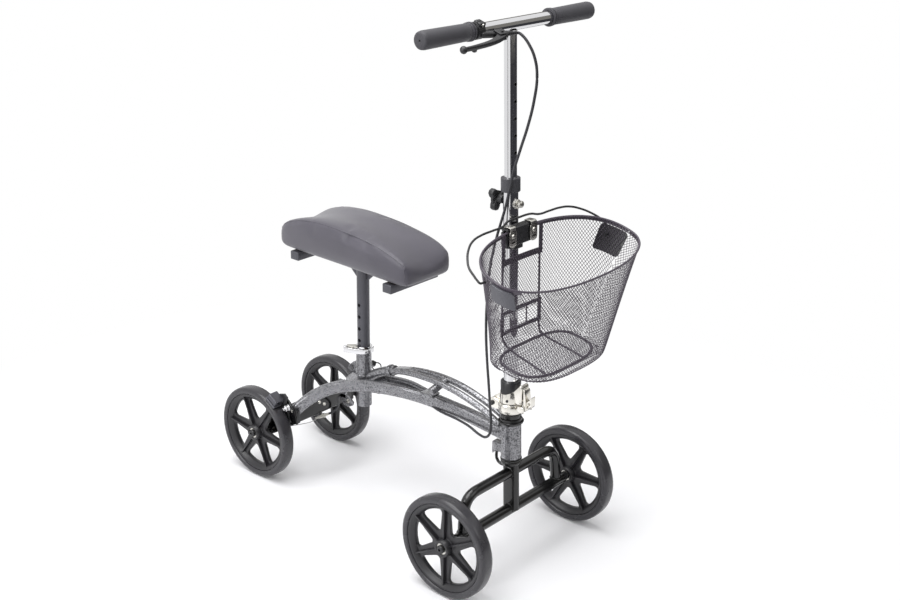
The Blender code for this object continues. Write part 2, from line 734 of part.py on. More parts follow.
def make_hinge(steering, column, lever_axis):
    ear = HINGE_EAR_D / 2
    base = turned([
        (0, BASE_S + HINGE_BASE_T),
        (HINGE_BASE_D / 2 - 0.002, BASE_S + HINGE_BASE_T),
        (HINGE_BASE_D / 2, BASE_S + HINGE_BASE_T - 0.002),
        (HINGE_BASE_D / 2, BASE_S + 0.006),
        (HINGE_BASE_D / 2 - 0.004, BASE_S),
        (0, BASE_S),
    ], sides=22)
    ears = []
    for side in (-1, 1):
        outline = [
            (0.006, BASE_S + 0.002),
            (HINGE_PIN_V, HINGE_PIN_S - ear),
            (HINGE_PIN_V + ear * 0.9, HINGE_PIN_S - ear * 0.4),
            (HINGE_PIN_V + ear * 0.9, HINGE_PIN_S + ear * 0.4),
            (HINGE_PIN_V, HINGE_PIN_S + ear),
            (0.016, BASE_S + HINGE_BASE_T - 0.0002),
            (0.006, BASE_S + HINGE_BASE_T - 0.0002),
        ]
        ears.append(side_plate(outline, 0.005, side * 0.0095))
    yoke = block((0.016, 0.024, HINGE_BASE_T - 0.003),
                 (0, -0.0255, BASE_S + (HINGE_BASE_T - 0.003) / 2), edge=0.001, rounds=1)
    base = joined(base, *ears, yoke)
    pin_bore = rod(HINGE_PIN_D / 2 + GAP, (-0.03, HINGE_PIN_V, HINGE_PIN_S),
                   (0.03, HINGE_PIN_V, HINGE_PIN_S), 12)
    slot = block((0.0085, 0.020, 0.03), (0, LEVER_PIVOT_V + 0.001, LEVER_PIVOT_S))
    lever_bore = rod(0.0025 + GAP, (-0.03, LEVER_PIVOT_V + 0.004, LEVER_PIVOT_S),
                     (0.03, LEVER_PIVOT_V + 0.004, LEVER_PIVOT_S), 8)
    base = cut(base, pin_bore, slot, lever_bore)
    placed(base, 'hinge_base', 'chrome', COLUMN_SPACE, steering)

    pin = turned([
        (0, 0.0155),
        (HINGE_PIN_D / 2 + 0.0012, 0.0155),
        (HINGE_PIN_D / 2 + 0.0012, 0.0124),
        (HINGE_PIN_D / 2, 0.0124),
        (HINGE_PIN_D / 2, -0.0124),
        (HINGE_PIN_D / 2 + 0.0012, -0.0124),
        (HINGE_PIN_D / 2 + 0.0012, -0.0155),
        (0, -0.0155),
    ], at=(0, HINGE_PIN_V, HINGE_PIN_S), axis=(1, 0, 0), sides=12)
    placed(pin, 'hinge_pin', 'chrome', COLUMN_SPACE, steering)

    head = turned([
        (0, HINGE_S + HINGE_HEAD_T),
        (0.0165, HINGE_S + HINGE_HEAD_T),
        (0.0185, HINGE_S + HINGE_HEAD_T - 0.004),
        (0.0205, HINGE_S + 0.008),
        (0.0205, HINGE_S + 0.002),
        (0.0185, HINGE_S),
        (0, HINGE_S),
    ], sides=22)
    outline = [
        (0.004, HINGE_S + 0.0005),
        (0.0225, HINGE_S + 0.0005),
        (HINGE_PIN_V - ear * 0.75, HINGE_PIN_S - ear * 0.6),
        (HINGE_PIN_V, HINGE_PIN_S - ear * 0.97),
        (HINGE_PIN_V + ear * 0.8, HINGE_PIN_S - ear * 0.5),
        (HINGE_PIN_V + ear * 0.8, HINGE_PIN_S + ear * 0.5),
        (HINGE_PIN_V - 0.002, HINGE_PIN_S + ear + 0.003),
        (0.017, HINGE_S + 0.016),
        (0.004, HINGE_S + 0.016),
    ]
    knuckle = side_plate(outline, 0.0132, 0)
    tongue = side_plate([
        (-0.010, HINGE_S + 0.001),
        (-0.0262, HINGE_S + 0.001),
        (-0.0300, HINGE_S + 0.012),
        (-0.0290, HINGE_S + 0.038),
        (-0.0255, HINGE_S + 0.044),
        (-0.0195, HINGE_S + 0.042),
        (-0.0193, HINGE_S + 0.018),
        (-0.010, HINGE_S + 0.018),
    ], 0.017, 0)
    head = joined(head, knuckle, tongue)
    pin_bore = rod(HINGE_PIN_D / 2 + GAP, (-0.03, HINGE_PIN_V, HINGE_PIN_S),
                   (0.03, HINGE_PIN_V, HINGE_PIN_S), 12)
    head = cut(head, pin_bore)
    placed(head, 'hinge_head', 'chrome', COLUMN_SPACE, column)

    collar_s = HINGE_S + HINGE_HEAD_T + GAP
    collar = turned([
        (COLLAR_D / 2 - 0.0015, collar_s + COLLAR_H),
        (COLLAR_D / 2, collar_s + COLLAR_H - 0.0015),
        (COLLAR_D / 2 - 0.001, collar_s),
        (COLUMN_D / 2 + GAP, collar_s),
        (COLUMN_D / 2 + GAP, collar_s + COLLAR_H),
    ], sides=24, ring=True)
    front_slot = block((0.0182, 0.010, 0.04), (0, -0.0240, collar_s + 0.0055))
    collar = cut(collar, front_slot)
    placed(collar, 'fold_collar', 'black_plastic', COLUMN_SPACE, column)

    body = side_plate([
        (LEVER_PIVOT_V - 0.0010, LEVER_PIVOT_S - 0.004),
        (LEVER_PIVOT_V + 0.0075, LEVER_PIVOT_S - 0.004),
        (LEVER_PIVOT_V + 0.0078, LEVER_PIVOT_S + 0.004),
        (LEVER_PIVOT_V + 0.0035, LEVER_PIVOT_S + 0.014),
        (LEVER_PIVOT_V + 0.0045, LEVER_PIVOT_S + 0.050),
        (LEVER_PIVOT_V - 0.0015, LEVER_PIVOT_S + 0.053),
        (LEVER_PIVOT_V - 0.0050, LEVER_PIVOT_S + 0.030),
        (LEVER_PIVOT_V - 0.0120, LEVER_PIVOT_S + 0.026),
        (LEVER_PIVOT_V - 0.0125, LEVER_PIVOT_S + 0.018),
        (LEVER_PIVOT_V - 0.0040, LEVER_PIVOT_S + 0.008),
    ], 0.0078, 0)
    shaft = rod(0.0025, (-0.0105, LEVER_PIVOT_V + 0.004, LEVER_PIVOT_S),
                (0.0105, LEVER_PIVOT_V + 0.004, LEVER_PIVOT_S), 8)
    lever = joined(body, shaft)
    placed(lever, 'fold_lever', 'chrome', COLUMN_SPACE, lever_axis)


def make_column(column, knob_axis):
    start = HINGE_S + HINGE_HEAD_T + GAP
    tube_part = turned([
        (COLUMN_D / 2, COLUMN_TOP_S),
        (COLUMN_D / 2, start),
        (STEM_D / 2 + SLIDE_GAP, start),
        (STEM_D / 2 + SLIDE_GAP, COLUMN_TOP_S),
    ], sides=24, ring=True)
    pin_hole = rod(0.0030 + GAP, (0, -0.02, PIN_S), (0, 0, PIN_S), 8)
    knob_hole = rod(0.0030 + GAP, (0, 0.02, PIN_S), (0, 0, PIN_S), 8)
    tube_part = cut(tube_part, pin_hole, knob_hole)
    placed(tube_part, 'column_tube', 'chrome', COLUMN_SPACE, column)

    clamp = turned([
        (CLAMP_D / 2 - 0.001, CLAMP_S + CLAMP_H),
        (CLAMP_D / 2, CLAMP_S + CLAMP_H - 0.001),
        (CLAMP_D / 2, CLAMP_S),
        (COLUMN_D / 2 + GAP, CLAMP_S),
        (COLUMN_D / 2 + GAP, CLAMP_S + CLAMP_H),
    ], sides=24, ring=True)
    placed(clamp, 'height_clamp', 'black_plastic', COLUMN_SPACE, column)

    knob_v = COLUMN_D / 2 + 0.006
    hub = turned([
        (0, 0.022),
        (0.006, 0.022),
        (0.0075, 0.018),
        (0.0065, 0),
        (0, 0),
    ], at=(0, knob_v, PIN_S), axis=(0, 1, 0), sides=12)
    wings = block((0.012, 0.013, 0.039), (0, knob_v + 0.0145, PIN_S),
                  turn=(0, math.radians(12), 0), edge=0.004)
    screw = rod(0.0030, (0, STEM_D / 2 + 2 * SLIDE_GAP, PIN_S), (0, knob_v + 0.003, PIN_S), 8)
    knob = joined(hub, wings, screw)
    placed(knob, 'clamp_knob', 'black_plastic', COLUMN_SPACE, knob_axis)


def make_height_pin(pin_axis):
    # The locking pin in front of the column, with its two round cheeks
    front = -COLUMN_D / 2 - GAP
    shaft = rod(0.0030, (0, -STEM_D / 2 - 2 * SLIDE_GAP, PIN_S), (0, front - 0.006, PIN_S), 8)
    near = turned([
        (0, 0.0026),
        (0.0068, 0.0026),
        (0.0080, 0),
        (0.0068, -0.0026),
        (0, -0.0026),
    ], at=(-0.0065, front - 0.0082, PIN_S - 0.001), axis=(1, 0, 0), sides=16)
    far = turned([
        (0, 0.0022),
        (0.0048, 0.0022),
        (0.0058, 0),
        (0.0048, -0.0022),
        (0, -0.0022),
    ], at=(0.0070, front - 0.0065, PIN_S + 0.0012), axis=(1, 0, 0), sides=14)
    bridge = block((0.013, 0.0045, 0.007), (0, front - 0.0056, PIN_S))
    pin = joined(shaft, bridge, near, far)
    placed(pin, 'height_pin', 'chrome', COLUMN_SPACE, pin_axis)


# Basket bracket, basket and bail, in the column's space

def make_bracket(column):
    middle = (BRACKET_LOW_S + BRACKET_TOP_S) / 2
    height = BRACKET_TOP_S - BRACKET_LOW_S
    face_v = BASKET_RIM_BACK_V + BASKET_RIM_WIRE_D / 2 + GAP
    plate = block((2 * BRACKET_HALF_W, BRACKET_PLATE_T, height), (0, face_v + BRACKET_PLATE_T / 2, middle),
                  edge=0.001, rounds=1)
    depth = -0.008 - face_v - 0.002
    spacer = block((0.030, depth, height - 0.004), (0, face_v + 0.002 + depth / 2, middle))
    saddle = rod(COLUMN_D / 2 + 0.0035, (0, 0, BRACKET_LOW_S + 0.004), (0, 0, BRACKET_TOP_S - 0.004), 20)
    bracket = joined(plate, spacer, saddle)
    bore = rod(COLUMN_D / 2 + GAP, (0, 0, BRACKET_LOW_S - 0.01), (0, 0, BRACKET_TOP_S + 0.01), 24)
    bracket = cut(bracket, bore)
    placed(bracket, 'basket_bracket', 'black_plastic', COLUMN_SPACE, column)


def basket_ring(level, inset, turns):
    # One level of the basket: 0 is the floor and 1 is the rim
    def between(low, high, flare=1.0):
        return low + (high - low) * level ** flare

    half = between(BASKET_FLOOR_HALF_W, BASKET_RIM_HALF_W, BASKET_SIDE_FLARE) - inset
    back = between(BASKET_FLOOR_BACK_V, BASKET_RIM_BACK_V) - inset
    wide = between(BASKET_FLOOR_WIDE_V, BASKET_RIM_WIDE_V)
    front = between(BASKET_FLOOR_FRONT_V, BASKET_RIM_FRONT_V, BASKET_FRONT_FLARE) + inset
    slope = between(BASKET_FLOOR_SLOPE, BASKET_RIM_SLOPE)
    height = between(BASKET_FLOOR_S, BASKET_RIM_S)
    front_power = between(2.9, 2.27)
    back_power = between(3.2, 2.35)
    ring = []
    for angle in turns:
        c, s = math.cos(angle), math.sin(angle)
        power = back_power if s > 0 else front_power
        x = half * math.copysign(abs(c) ** (2 / power), c)
        reach = (back if s > 0 else front) - wide
        v = wide + reach * abs(s) ** (2 / power)
        ring.append(Vector((x, v, height + slope * (v - back - inset))))
    return ring


def lofted(rings):
    # A closed skin through rings of equal counts, with its two ends filled
    bm = bmesh.new()
    rows = [[bm.verts.new(point) for point in ring] for ring in rings]
    count = len(rows[0])
    for low, high in zip(rows, rows[1:]):
        for k in range(count):
            bm.faces.new((low[k], low[(k + 1) % count], high[(k + 1) % count], high[k]))
    bm.faces.new(rows[0][::-1])
    bm.faces.new(rows[-1])
    bmesh.ops.recalc_face_normals(bm, faces=bm.faces)
    return from_bmesh(bm)


def basket_turns():
    # Directions round the basket: two to each upright bar, and one or two in each opening between them
    turns = []
    bars = BASKET_BARS + (360,)
    for bar, following in zip(bars, bars[1:]):
        turns += [bar - BASKET_BAR_TURN, bar + BASKET_BAR_TURN]
        steps = 3 if following - bar > 30 else 2
        for k in range(1, steps):
            turns.append(bar + (following - bar) * k / steps)
    return [math.radians(turn) for turn in turns]


def openwork(outer, inner, is_open):
    # A double skin between two stacks of rings, with whole cells left open; is_open takes a cell's row and place
    bm = bmesh.new()
    skins = []
    for rings in (outer, inner):
        skins.append([[bm.verts.new(point) for point in ring] for ring in rings])
    out, ins = skins
    count = len(outer[0])
    rows = len(outer) - 1
    for row in range(rows):
        for k in range(count):
            after = (k + 1) % count
            if not is_open(row, k):
                bm.faces.new((out[row][k], out[row][after], out[row + 1][after], out[row + 1][k]))
                bm.faces.new((ins[row][k], ins[row + 1][k], ins[row + 1][after], ins[row][after]))
            elif not is_open(row, (k - 1) % count):
                bm.faces.new((out[row][k], out[row + 1][k], ins[row + 1][k], ins[row][k]))
            if is_open(row, k) and not is_open(row, after):
                bm.faces.new((out[row][after], out[row + 1][after], ins[row + 1][after], ins[row][after]))
            if is_open(row, k) != is_open(row - 1, k):
                bm.faces.new((out[row][k], out[row][after], ins[row][after], ins[row][k]))
    for k in range(count):
        after = (k + 1) % count
        bm.faces.new((out[rows][k], out[rows][after], ins[rows][after], ins[rows][k]))
    bm.faces.new(out[0])
    bm.faces.new(ins[0])
    bmesh.ops.recalc_face_normals(bm, faces=bm.faces)
    return from_bmesh(bm)


def make_basket(basket):
    corner = 0.010
    turns = basket_turns()
    levels = (0.055, 0.33, 0.37, 0.62, 0.66, 0.91, 0.95, 1.0)
    outer = [basket_ring(0.0, corner, turns)]
    inner = [basket_ring(0.011, corner + BASKET_WALL, turns)]
    for level in levels:
        outer.append(basket_ring(level, -0.0012 if level > 0.94 else 0.0, turns))
        inner.append(basket_ring(level, BASKET_WALL, turns))

    def is_open(row, k):
        # Three rows of openings, but solid plates at the sides and a solid back round the window
        if row not in (1, 3, 5):
            return False
        turn = math.degrees(turns[k])
        following = math.degrees(turns[(k + 1) % len(turns)])
        width = (following - turn) % 360
        middle = (turn + width / 2) % 360
        if min(abs((middle - bar + 180) % 360 - 180) for bar in BASKET_BARS) < 0.1:
            return False
        at_side = min(middle, abs(middle - 180), 360 - middle) < BASKET_BARS[1]
        at_back = abs(middle - 90) < 90 - BASKET_BARS[2]
        return not (row == 5 and (at_side or at_back))

    shell = openwork(outer, inner, is_open)
    rim = tube(basket_ring(1.0, 0.0, turns), BASKET_RIM_WIRE_D / 2, 2, cyclic=True)
    shell = joined(shell, rim)
    window_h = BASKET_WINDOW_TOP_S - BASKET_WINDOW_LOW_S
    window = block((BASKET_WINDOW_W, 0.03, window_h),
                   (0, BASKET_RIM_BACK_V, BASKET_WINDOW_LOW_S + window_h / 2))
    pivots = rod(BAIL_WIRE_D / 2 + TURN_GAP, (-0.3, BAIL_PIVOT_V, BAIL_PIVOT_S), (0.3, BAIL_PIVOT_V, BAIL_PIVOT_S), 10)
    shell = cut(shell, window, pivots)
    # Two hooks hang the basket over the top of its bracket
    plate_back = BASKET_RIM_BACK_V + BASKET_RIM_WIRE_D / 2 + GAP + BRACKET_PLATE_T
    hook_low = BRACKET_TOP_S + GAP
    leg_v = plate_back + GAP
    outline = [
        (BASKET_RIM_BACK_V, hook_low),
        (leg_v, hook_low),
        (leg_v, hook_low - 0.013),
        (leg_v + HOOK_T, hook_low - 0.013),
        (leg_v + HOOK_T, hook_low + HOOK_T),
        (BASKET_RIM_BACK_V, hook_low + HOOK_T),
    ]
    shell = joined(shell, *[side_plate(outline, HOOK_W, side * HOOK_X) for side in (-1, 1)])
    placed(shell, 'basket', 'basket_black', COLUMN_SPACE, basket)


def bail_route():
    half = [
        (0.000, 1.0),
        (0.020, 1.0),
        (0.034, 0.985),
        (0.050, 0.925),
        (0.080, 0.915),
        (0.110, 0.905),
        (0.136, 0.850),
        (0.158, 0.720),
        (0.177, 0.520),
        (0.186, 0.360),
        (BAIL_PIVOT_X, 0.200),
    ]
    points = []
    for x, share in half:
        reach = BAIL_REACH * share
        points.append(Vector((x, BAIL_PIVOT_V + reach * math.cos(BAIL_ANGLE),
                              BAIL_PIVOT_S + reach * math.sin(BAIL_ANGLE))))
    return points


def make_bail(bail):
    half = bail_route()
    knots = [Vector((-p.x, p.y, p.z)) for p in reversed(half[1:])] + half
    route = smooth_route(knots, 27)
    for side, ends in ((-1, 0), (1, len(route) + 2)):
        turned_in = [Vector((side * BAIL_PIVOT_X, BAIL_PIVOT_V, BAIL_PIVOT_S)),
                     Vector((side * BAIL_END_X, BAIL_PIVOT_V, BAIL_PIVOT_S))]
        if ends:
            route += turned_in
        else:
            route = turned_in[::-1] + route
    wire = tube(route, BAIL_WIRE_D / 2, 2)
    placed(wire, 'basket_bail', 'basket_black', COLUMN_SPACE, bail)


# Handlebar and brake lever, in the column's space

def make_handlebar(stem, lever_axis):
    top = BAR_S - BAR_D / 2 - GAP
    stem_tube = turned([
        (STEM_D / 2, top),
        (STEM_D / 2, STEM_BOTTOM_S),
        (STEM_D / 2 - 0.0018, STEM_BOTTOM_S),
        (STEM_D / 2 - 0.0018, top),
    ], sides=24, ring=True)
    holes = []
    for k in range(HEIGHT_HOLES):
        s = HEIGHT_HOLE_TOP_S - k * HEIGHT_HOLE_PITCH
        holes.append(rod(HEIGHT_HOLE_D / 2, (0, -0.03, s), (0, 0, s), 8))
    stem_tube = cut(stem_tube, *holes)
    placed(stem_tube, 'stem_tube', 'chrome', COLUMN_SPACE, stem)

    half = BAR_L / 2
    bar = turned([
        (BAR_D / 2, half),
        (BAR_D / 2, -half),
        (BAR_D / 2 - 0.0018, -half),
        (BAR_D / 2 - 0.0018, half),
    ], at=(0, 0, BAR_S), axis=(1, 0, 0), sides=24, ring=True)
    placed(bar, 'handlebar', 'chrome', COLUMN_SPACE, stem)

    end = BAR_L / 2 + GRIP_END_T
    inner = GRIP_INNER_X
    for side, name in ((-1, 'right'), (1, 'left')):
        grip = turned([
            (0.003, end),
            (GRIP_D / 2 - 0.0050, end - 0.0005),
            (GRIP_D / 2 - 0.0012, end - 0.0030),
            (GRIP_D / 2, end - 0.0075),
            (GRIP_D / 2 - 0.0005, inner + 0.0090),
            (GRIP_D / 2 - 0.0018, inner + 0.0065),
            (GRIP_D / 2 + 0.0006, inner + 0.0050),
            (GRIP_D / 2 + 0.0006, inner),
            (BAR_D / 2 + 2 * GAP, inner),
            (BAR_D / 2 + 2 * GAP, BAR_L / 2 + GAP),
            (0.003, BAR_L / 2 + GAP),
        ], at=(0, 0, BAR_S), axis=(side, 0, 0), sides=16, ring=True)
        placed(grip, 'grip_' + name, 'grip_rubber', COLUMN_SPACE, stem)

    make_brake_lever(stem, lever_axis)


LEVER_DROP = math.radians(20)
LEVER_SPACE = (COLUMN_SPACE @ Matrix.Translation((-GRIP_INNER_X, 0, BAR_S))
               @ Matrix.Rotation(LEVER_DROP, 4, 'X'))
BRAKE_BAND_X = 0.0273
BRAKE_BAND_W = 0.0155
BRAKE_BAND_D = 0.030
LEVER_PIVOT = (0.0478, -0.0270)


def make_brake_lever(stem, lever_axis):
    # Built level in its own space: X is measured from the grip's inner end and out from the bar is -Y
    band = rod(BRAKE_BAND_D / 2, (BRAKE_BAND_X - BRAKE_BAND_W / 2, 0, 0), (BRAKE_BAND_X + BRAKE_BAND_W / 2, 0, 0), 20)
    cap = block((0.0135, 0.013, 0.011), (BRAKE_BAND_X, -0.002, 0.0165), edge=0.0012, rounds=1)
    arm = block((0.030, 0.012, 0.010), (0.0383, -0.0185, -0.001), turn=(0, 0, math.radians(-12)),
                edge=0.0015, rounds=1)
    yoke_plates = []
    for up in (-1, 1):
        yoke_plates.append(block((0.020, 0.017, 0.0022), (LEVER_PIVOT[0], -0.0255, up * 0.0052)))
    barrel = rod(0.0042, (0.0558, -0.0235, 0), (0.0848, -0.0290, 0), 10)
    bracket = joined(band, cap, arm, *yoke_plates, barrel)
    inside = rod(BAR_D / 2 + GAP, (0, 0, 0), (0.07, 0, 0), 24)
    slot = block((0.0225, 0.024, 0.0080), (LEVER_PIVOT[0] - 0.0015, -0.0310, 0))
    pivot_bore = rod(0.0022 + GAP, (*LEVER_PIVOT, -0.01), (*LEVER_PIVOT, 0.01), 8)
    bracket = cut(bracket, inside, slot, pivot_bore)
    placed(bracket, 'lever_bracket', 'black_plastic', LEVER_SPACE, stem)

    blade = flat([
        (LEVER_PIVOT[0] + 0.0065, LEVER_PIVOT[1] + 0.0030),
        (LEVER_PIVOT[0] + 0.0070, LEVER_PIVOT[1] - 0.0050),
        (0.0418, -0.0385),
        (0.0138, -0.0460),
        (-0.0262, -0.0500),
        (-0.0642, -0.0505),
        (-0.0642, -0.0465),
        (-0.0262, -0.0430),
        (0.0088, -0.0375),
        (0.0338, -0.0290),
        (0.0398, -0.0210),
    ], 0.0070, Matrix.Identity(4))
    tip = ball(0.0065, (-0.0692, -0.0485, 0), rings=8, sides=12)
    pin = rod(0.0022, (*LEVER_PIVOT, -0.0082), (*LEVER_PIVOT, 0.0082), 8)
    lever = joined(blade, tip, pin)
    placed(lever, 'brake_lever', 'dark_steel', LEVER_SPACE, lever_axis)


# Frame, in its own space: the origin is on the floor under the rear axle

def lower_rail_x(y):
    stops = [(-0.60, LOWER_RAIL_HEAD_X), (-0.33, LOWER_RAIL_HEAD_X),
             (-0.27, LOWER_RAIL_HEAD_X + 0.0037), (POST_Y, LOWER_RAIL_SOCKET_X),
             (BEAM_Y, LOWER_RAIL_FOOT_X)]
    for (y0, x0), (y1, x1) in zip(stops, stops[1:]):
        if y <= y1:
            return x0 + (x1 - x0) * (y - y0) / (y1 - y0)
    return LOWER_RAIL_FOOT_X


def head_cutter():
    # The head tube's outside with its weld gap, brought into the frame's space
    tool = rod(HEAD_TUBE_D / 2 + GAP, (0, 0, 0.05), (0, 0, 0.30), 32)
    return moved(tool, FRAME_SPACE.inverted() @ COLUMN_SPACE)


def cup_cutter():
    # The same for the flange of the headset cup above it
    tool = rod(UPPER_CUP_D / 2 + GAP, (0, 0, HEAD_TUBE_TOP_S), (0, 0, 0.23), 32)
    return moved(tool, FRAME_SPACE.inverted() @ COLUMN_SPACE)


def lower_rail_solid(width, height, side):
    heights = [(-0.0700, 0.1500), (-0.1019, 0.1863), (-0.1251, 0.2055), (-0.1479, 0.2195),
               (-0.1816, 0.2330), (-0.2167, 0.2420), (-0.2692, 0.2531), (-0.3213, 0.2610),
               (-0.3744, 0.2668), (-0.4266, 0.2690), (-0.4776, 0.2678), (-0.5274, 0.2646),
               (-0.5850, 0.2592)]
    knots = [(side * lower_rail_x(y), y, z) for y, z in heights]
    return swept(smooth_route(knots, 21), oval_outline(width, height, 4))


def make_lower_rails(frame):
    rail = lower_rail_solid(RAIL_W, RAIL_H, -1)
    beam_face = BEAM_Y - BEAM_D / 2 - GAP
    beam_side = block((0.3, 0.2, 0.3), (0, beam_face + 0.1, 0.15))
    rail = cut(rail, head_cutter(), cup_cutter(), beam_side)
    placed(mirrored(rail), 'lower_rail_left', 'hammered_grey', FRAME_SPACE, frame)
    placed(rail, 'lower_rail_right', 'hammered_grey', FRAME_SPACE, frame)


def make_upper_rails(frame):
    route = [(-0.3180, 0.2925), (-0.3371, 0.2985), (-0.3772, 0.3032), (-0.4159, 0.3058),
             (-0.4667, 0.3031), (-0.5046, 0.2950), (-0.5465, 0.2805), (-0.5850, 0.2600)]
    sides = []
    for side in (-1, 1):
        knots = [(side * UPPER_RAIL_X, y, z) for y, z in route]
        sides.append(tube(smooth_route(knots, 12), UPPER_RAIL_D / 2, 3))
    sleeve_route = [(0, POST_Y - SOCKET_D / 2 - GAP - 0.002, 0.2555), (0, -0.2450, 0.2690),
                    (0, -0.2875, 0.2842), (0, -0.3285, 0.2950)]
    sleeve = tube(smooth_route(sleeve_route, 7), RAIL_SLEEVE_D / 2, 4)
    collar_at = Vector((0, -0.2760, 0.2806))
    lean = Vector((0, -0.40, 0.145)).normalized()
    collar = rod(RAIL_SLEEVE_D / 2 + 0.0022, collar_at - lean * 0.003, collar_at + lean * 0.003, 16)
    saddle = block((2 * UPPER_RAIL_X + 0.006, 0.022, 0.0110), (0, -0.3330, 0.2970),
                   turn=(math.radians(-12), 0, 0), edge=0.003, rounds=1)
    half = CROSS_TUBE_L / 2
    cross = rod(CROSS_TUBE_D / 2, (-half, CROSS_TUBE_Y, CROSS_TUBE_Z), (half, CROSS_TUBE_Y, CROSS_TUBE_Z), 16)
    rails = joined(sides[0], sides[1], sleeve, collar, saddle, cross)
    socket_side = rod(SOCKET_D / 2 + GAP, (0, POST_Y, 0.1), (0, POST_Y, 0.4), 28)
    below = [lower_rail_solid(RAIL_W + 2 * GAP, RAIL_H + 2 * GAP, side) for side in (-1, 1)]
    rails = cut(rails, head_cutter(), cup_cutter(), socket_side, *below)
    placed(rails, 'upper_rails', 'hammered_grey', FRAME_SPACE, frame)


def make_head(frame):
    head = turned([
        (HEAD_TUBE_D / 2, HEAD_TUBE_TOP_S),
        (HEAD_TUBE_D / 2, HEAD_TUBE_S),
        (HEAD_TUBE_BORE_D / 2, HEAD_TUBE_S),
        (HEAD_TUBE_BORE_D / 2, HEAD_TUBE_TOP_S),
    ], sides=32, ring=True)
    stop = block((0.011, 0.016, 0.016), (0, HEAD_TUBE_D / 2 + 0.0065, HEAD_TUBE_S + 0.024), edge=0.0015,
                 rounds=1)
    head = joined(head, stop)
    placed(head, 'head_tube', 'hammered_grey', COLUMN_SPACE, frame)

    bore = STEERER_D / 2 + TURN_GAP
    cup_s = HEAD_TUBE_TOP_S + GAP
    cup = turned([
        (HEAD_TUBE_D / 2 - 0.001, cup_s + UPPER_CUP_T),
        (HEAD_TUBE_D / 2 - 0.001, cup_s + 0.0065),
        (UPPER_CUP_D / 2, cup_s + 0.0050),
        (UPPER_CUP_D / 2 - 0.0030, cup_s + 0.0008),
        (HEAD_TUBE_D / 2, cup_s),
        (bore, cup_s),
        (bore, cup_s + UPPER_CUP_T),
    ], sides=24, ring=True)
    placed(cup, 'upper_headset_cup', 'gloss_black', COLUMN_SPACE, frame)
    low = turned([
        (HEAD_TUBE_D / 2 + 0.0015, LOWER_CUP_S + LOWER_CUP_T),
        (HEAD_TUBE_D / 2 + 0.0005, LOWER_CUP_S),
        (HEAD_TUBE_D / 2 - 0.0020, LOWER_CUP_S),
        (HEAD_TUBE_D / 2 - 0.0050, LOWER_CUP_S + LOWER_CUP_T),
    ], sides=24, ring=True)
    placed(low, 'lower_headset_cup', 'gloss_black', COLUMN_SPACE, frame)


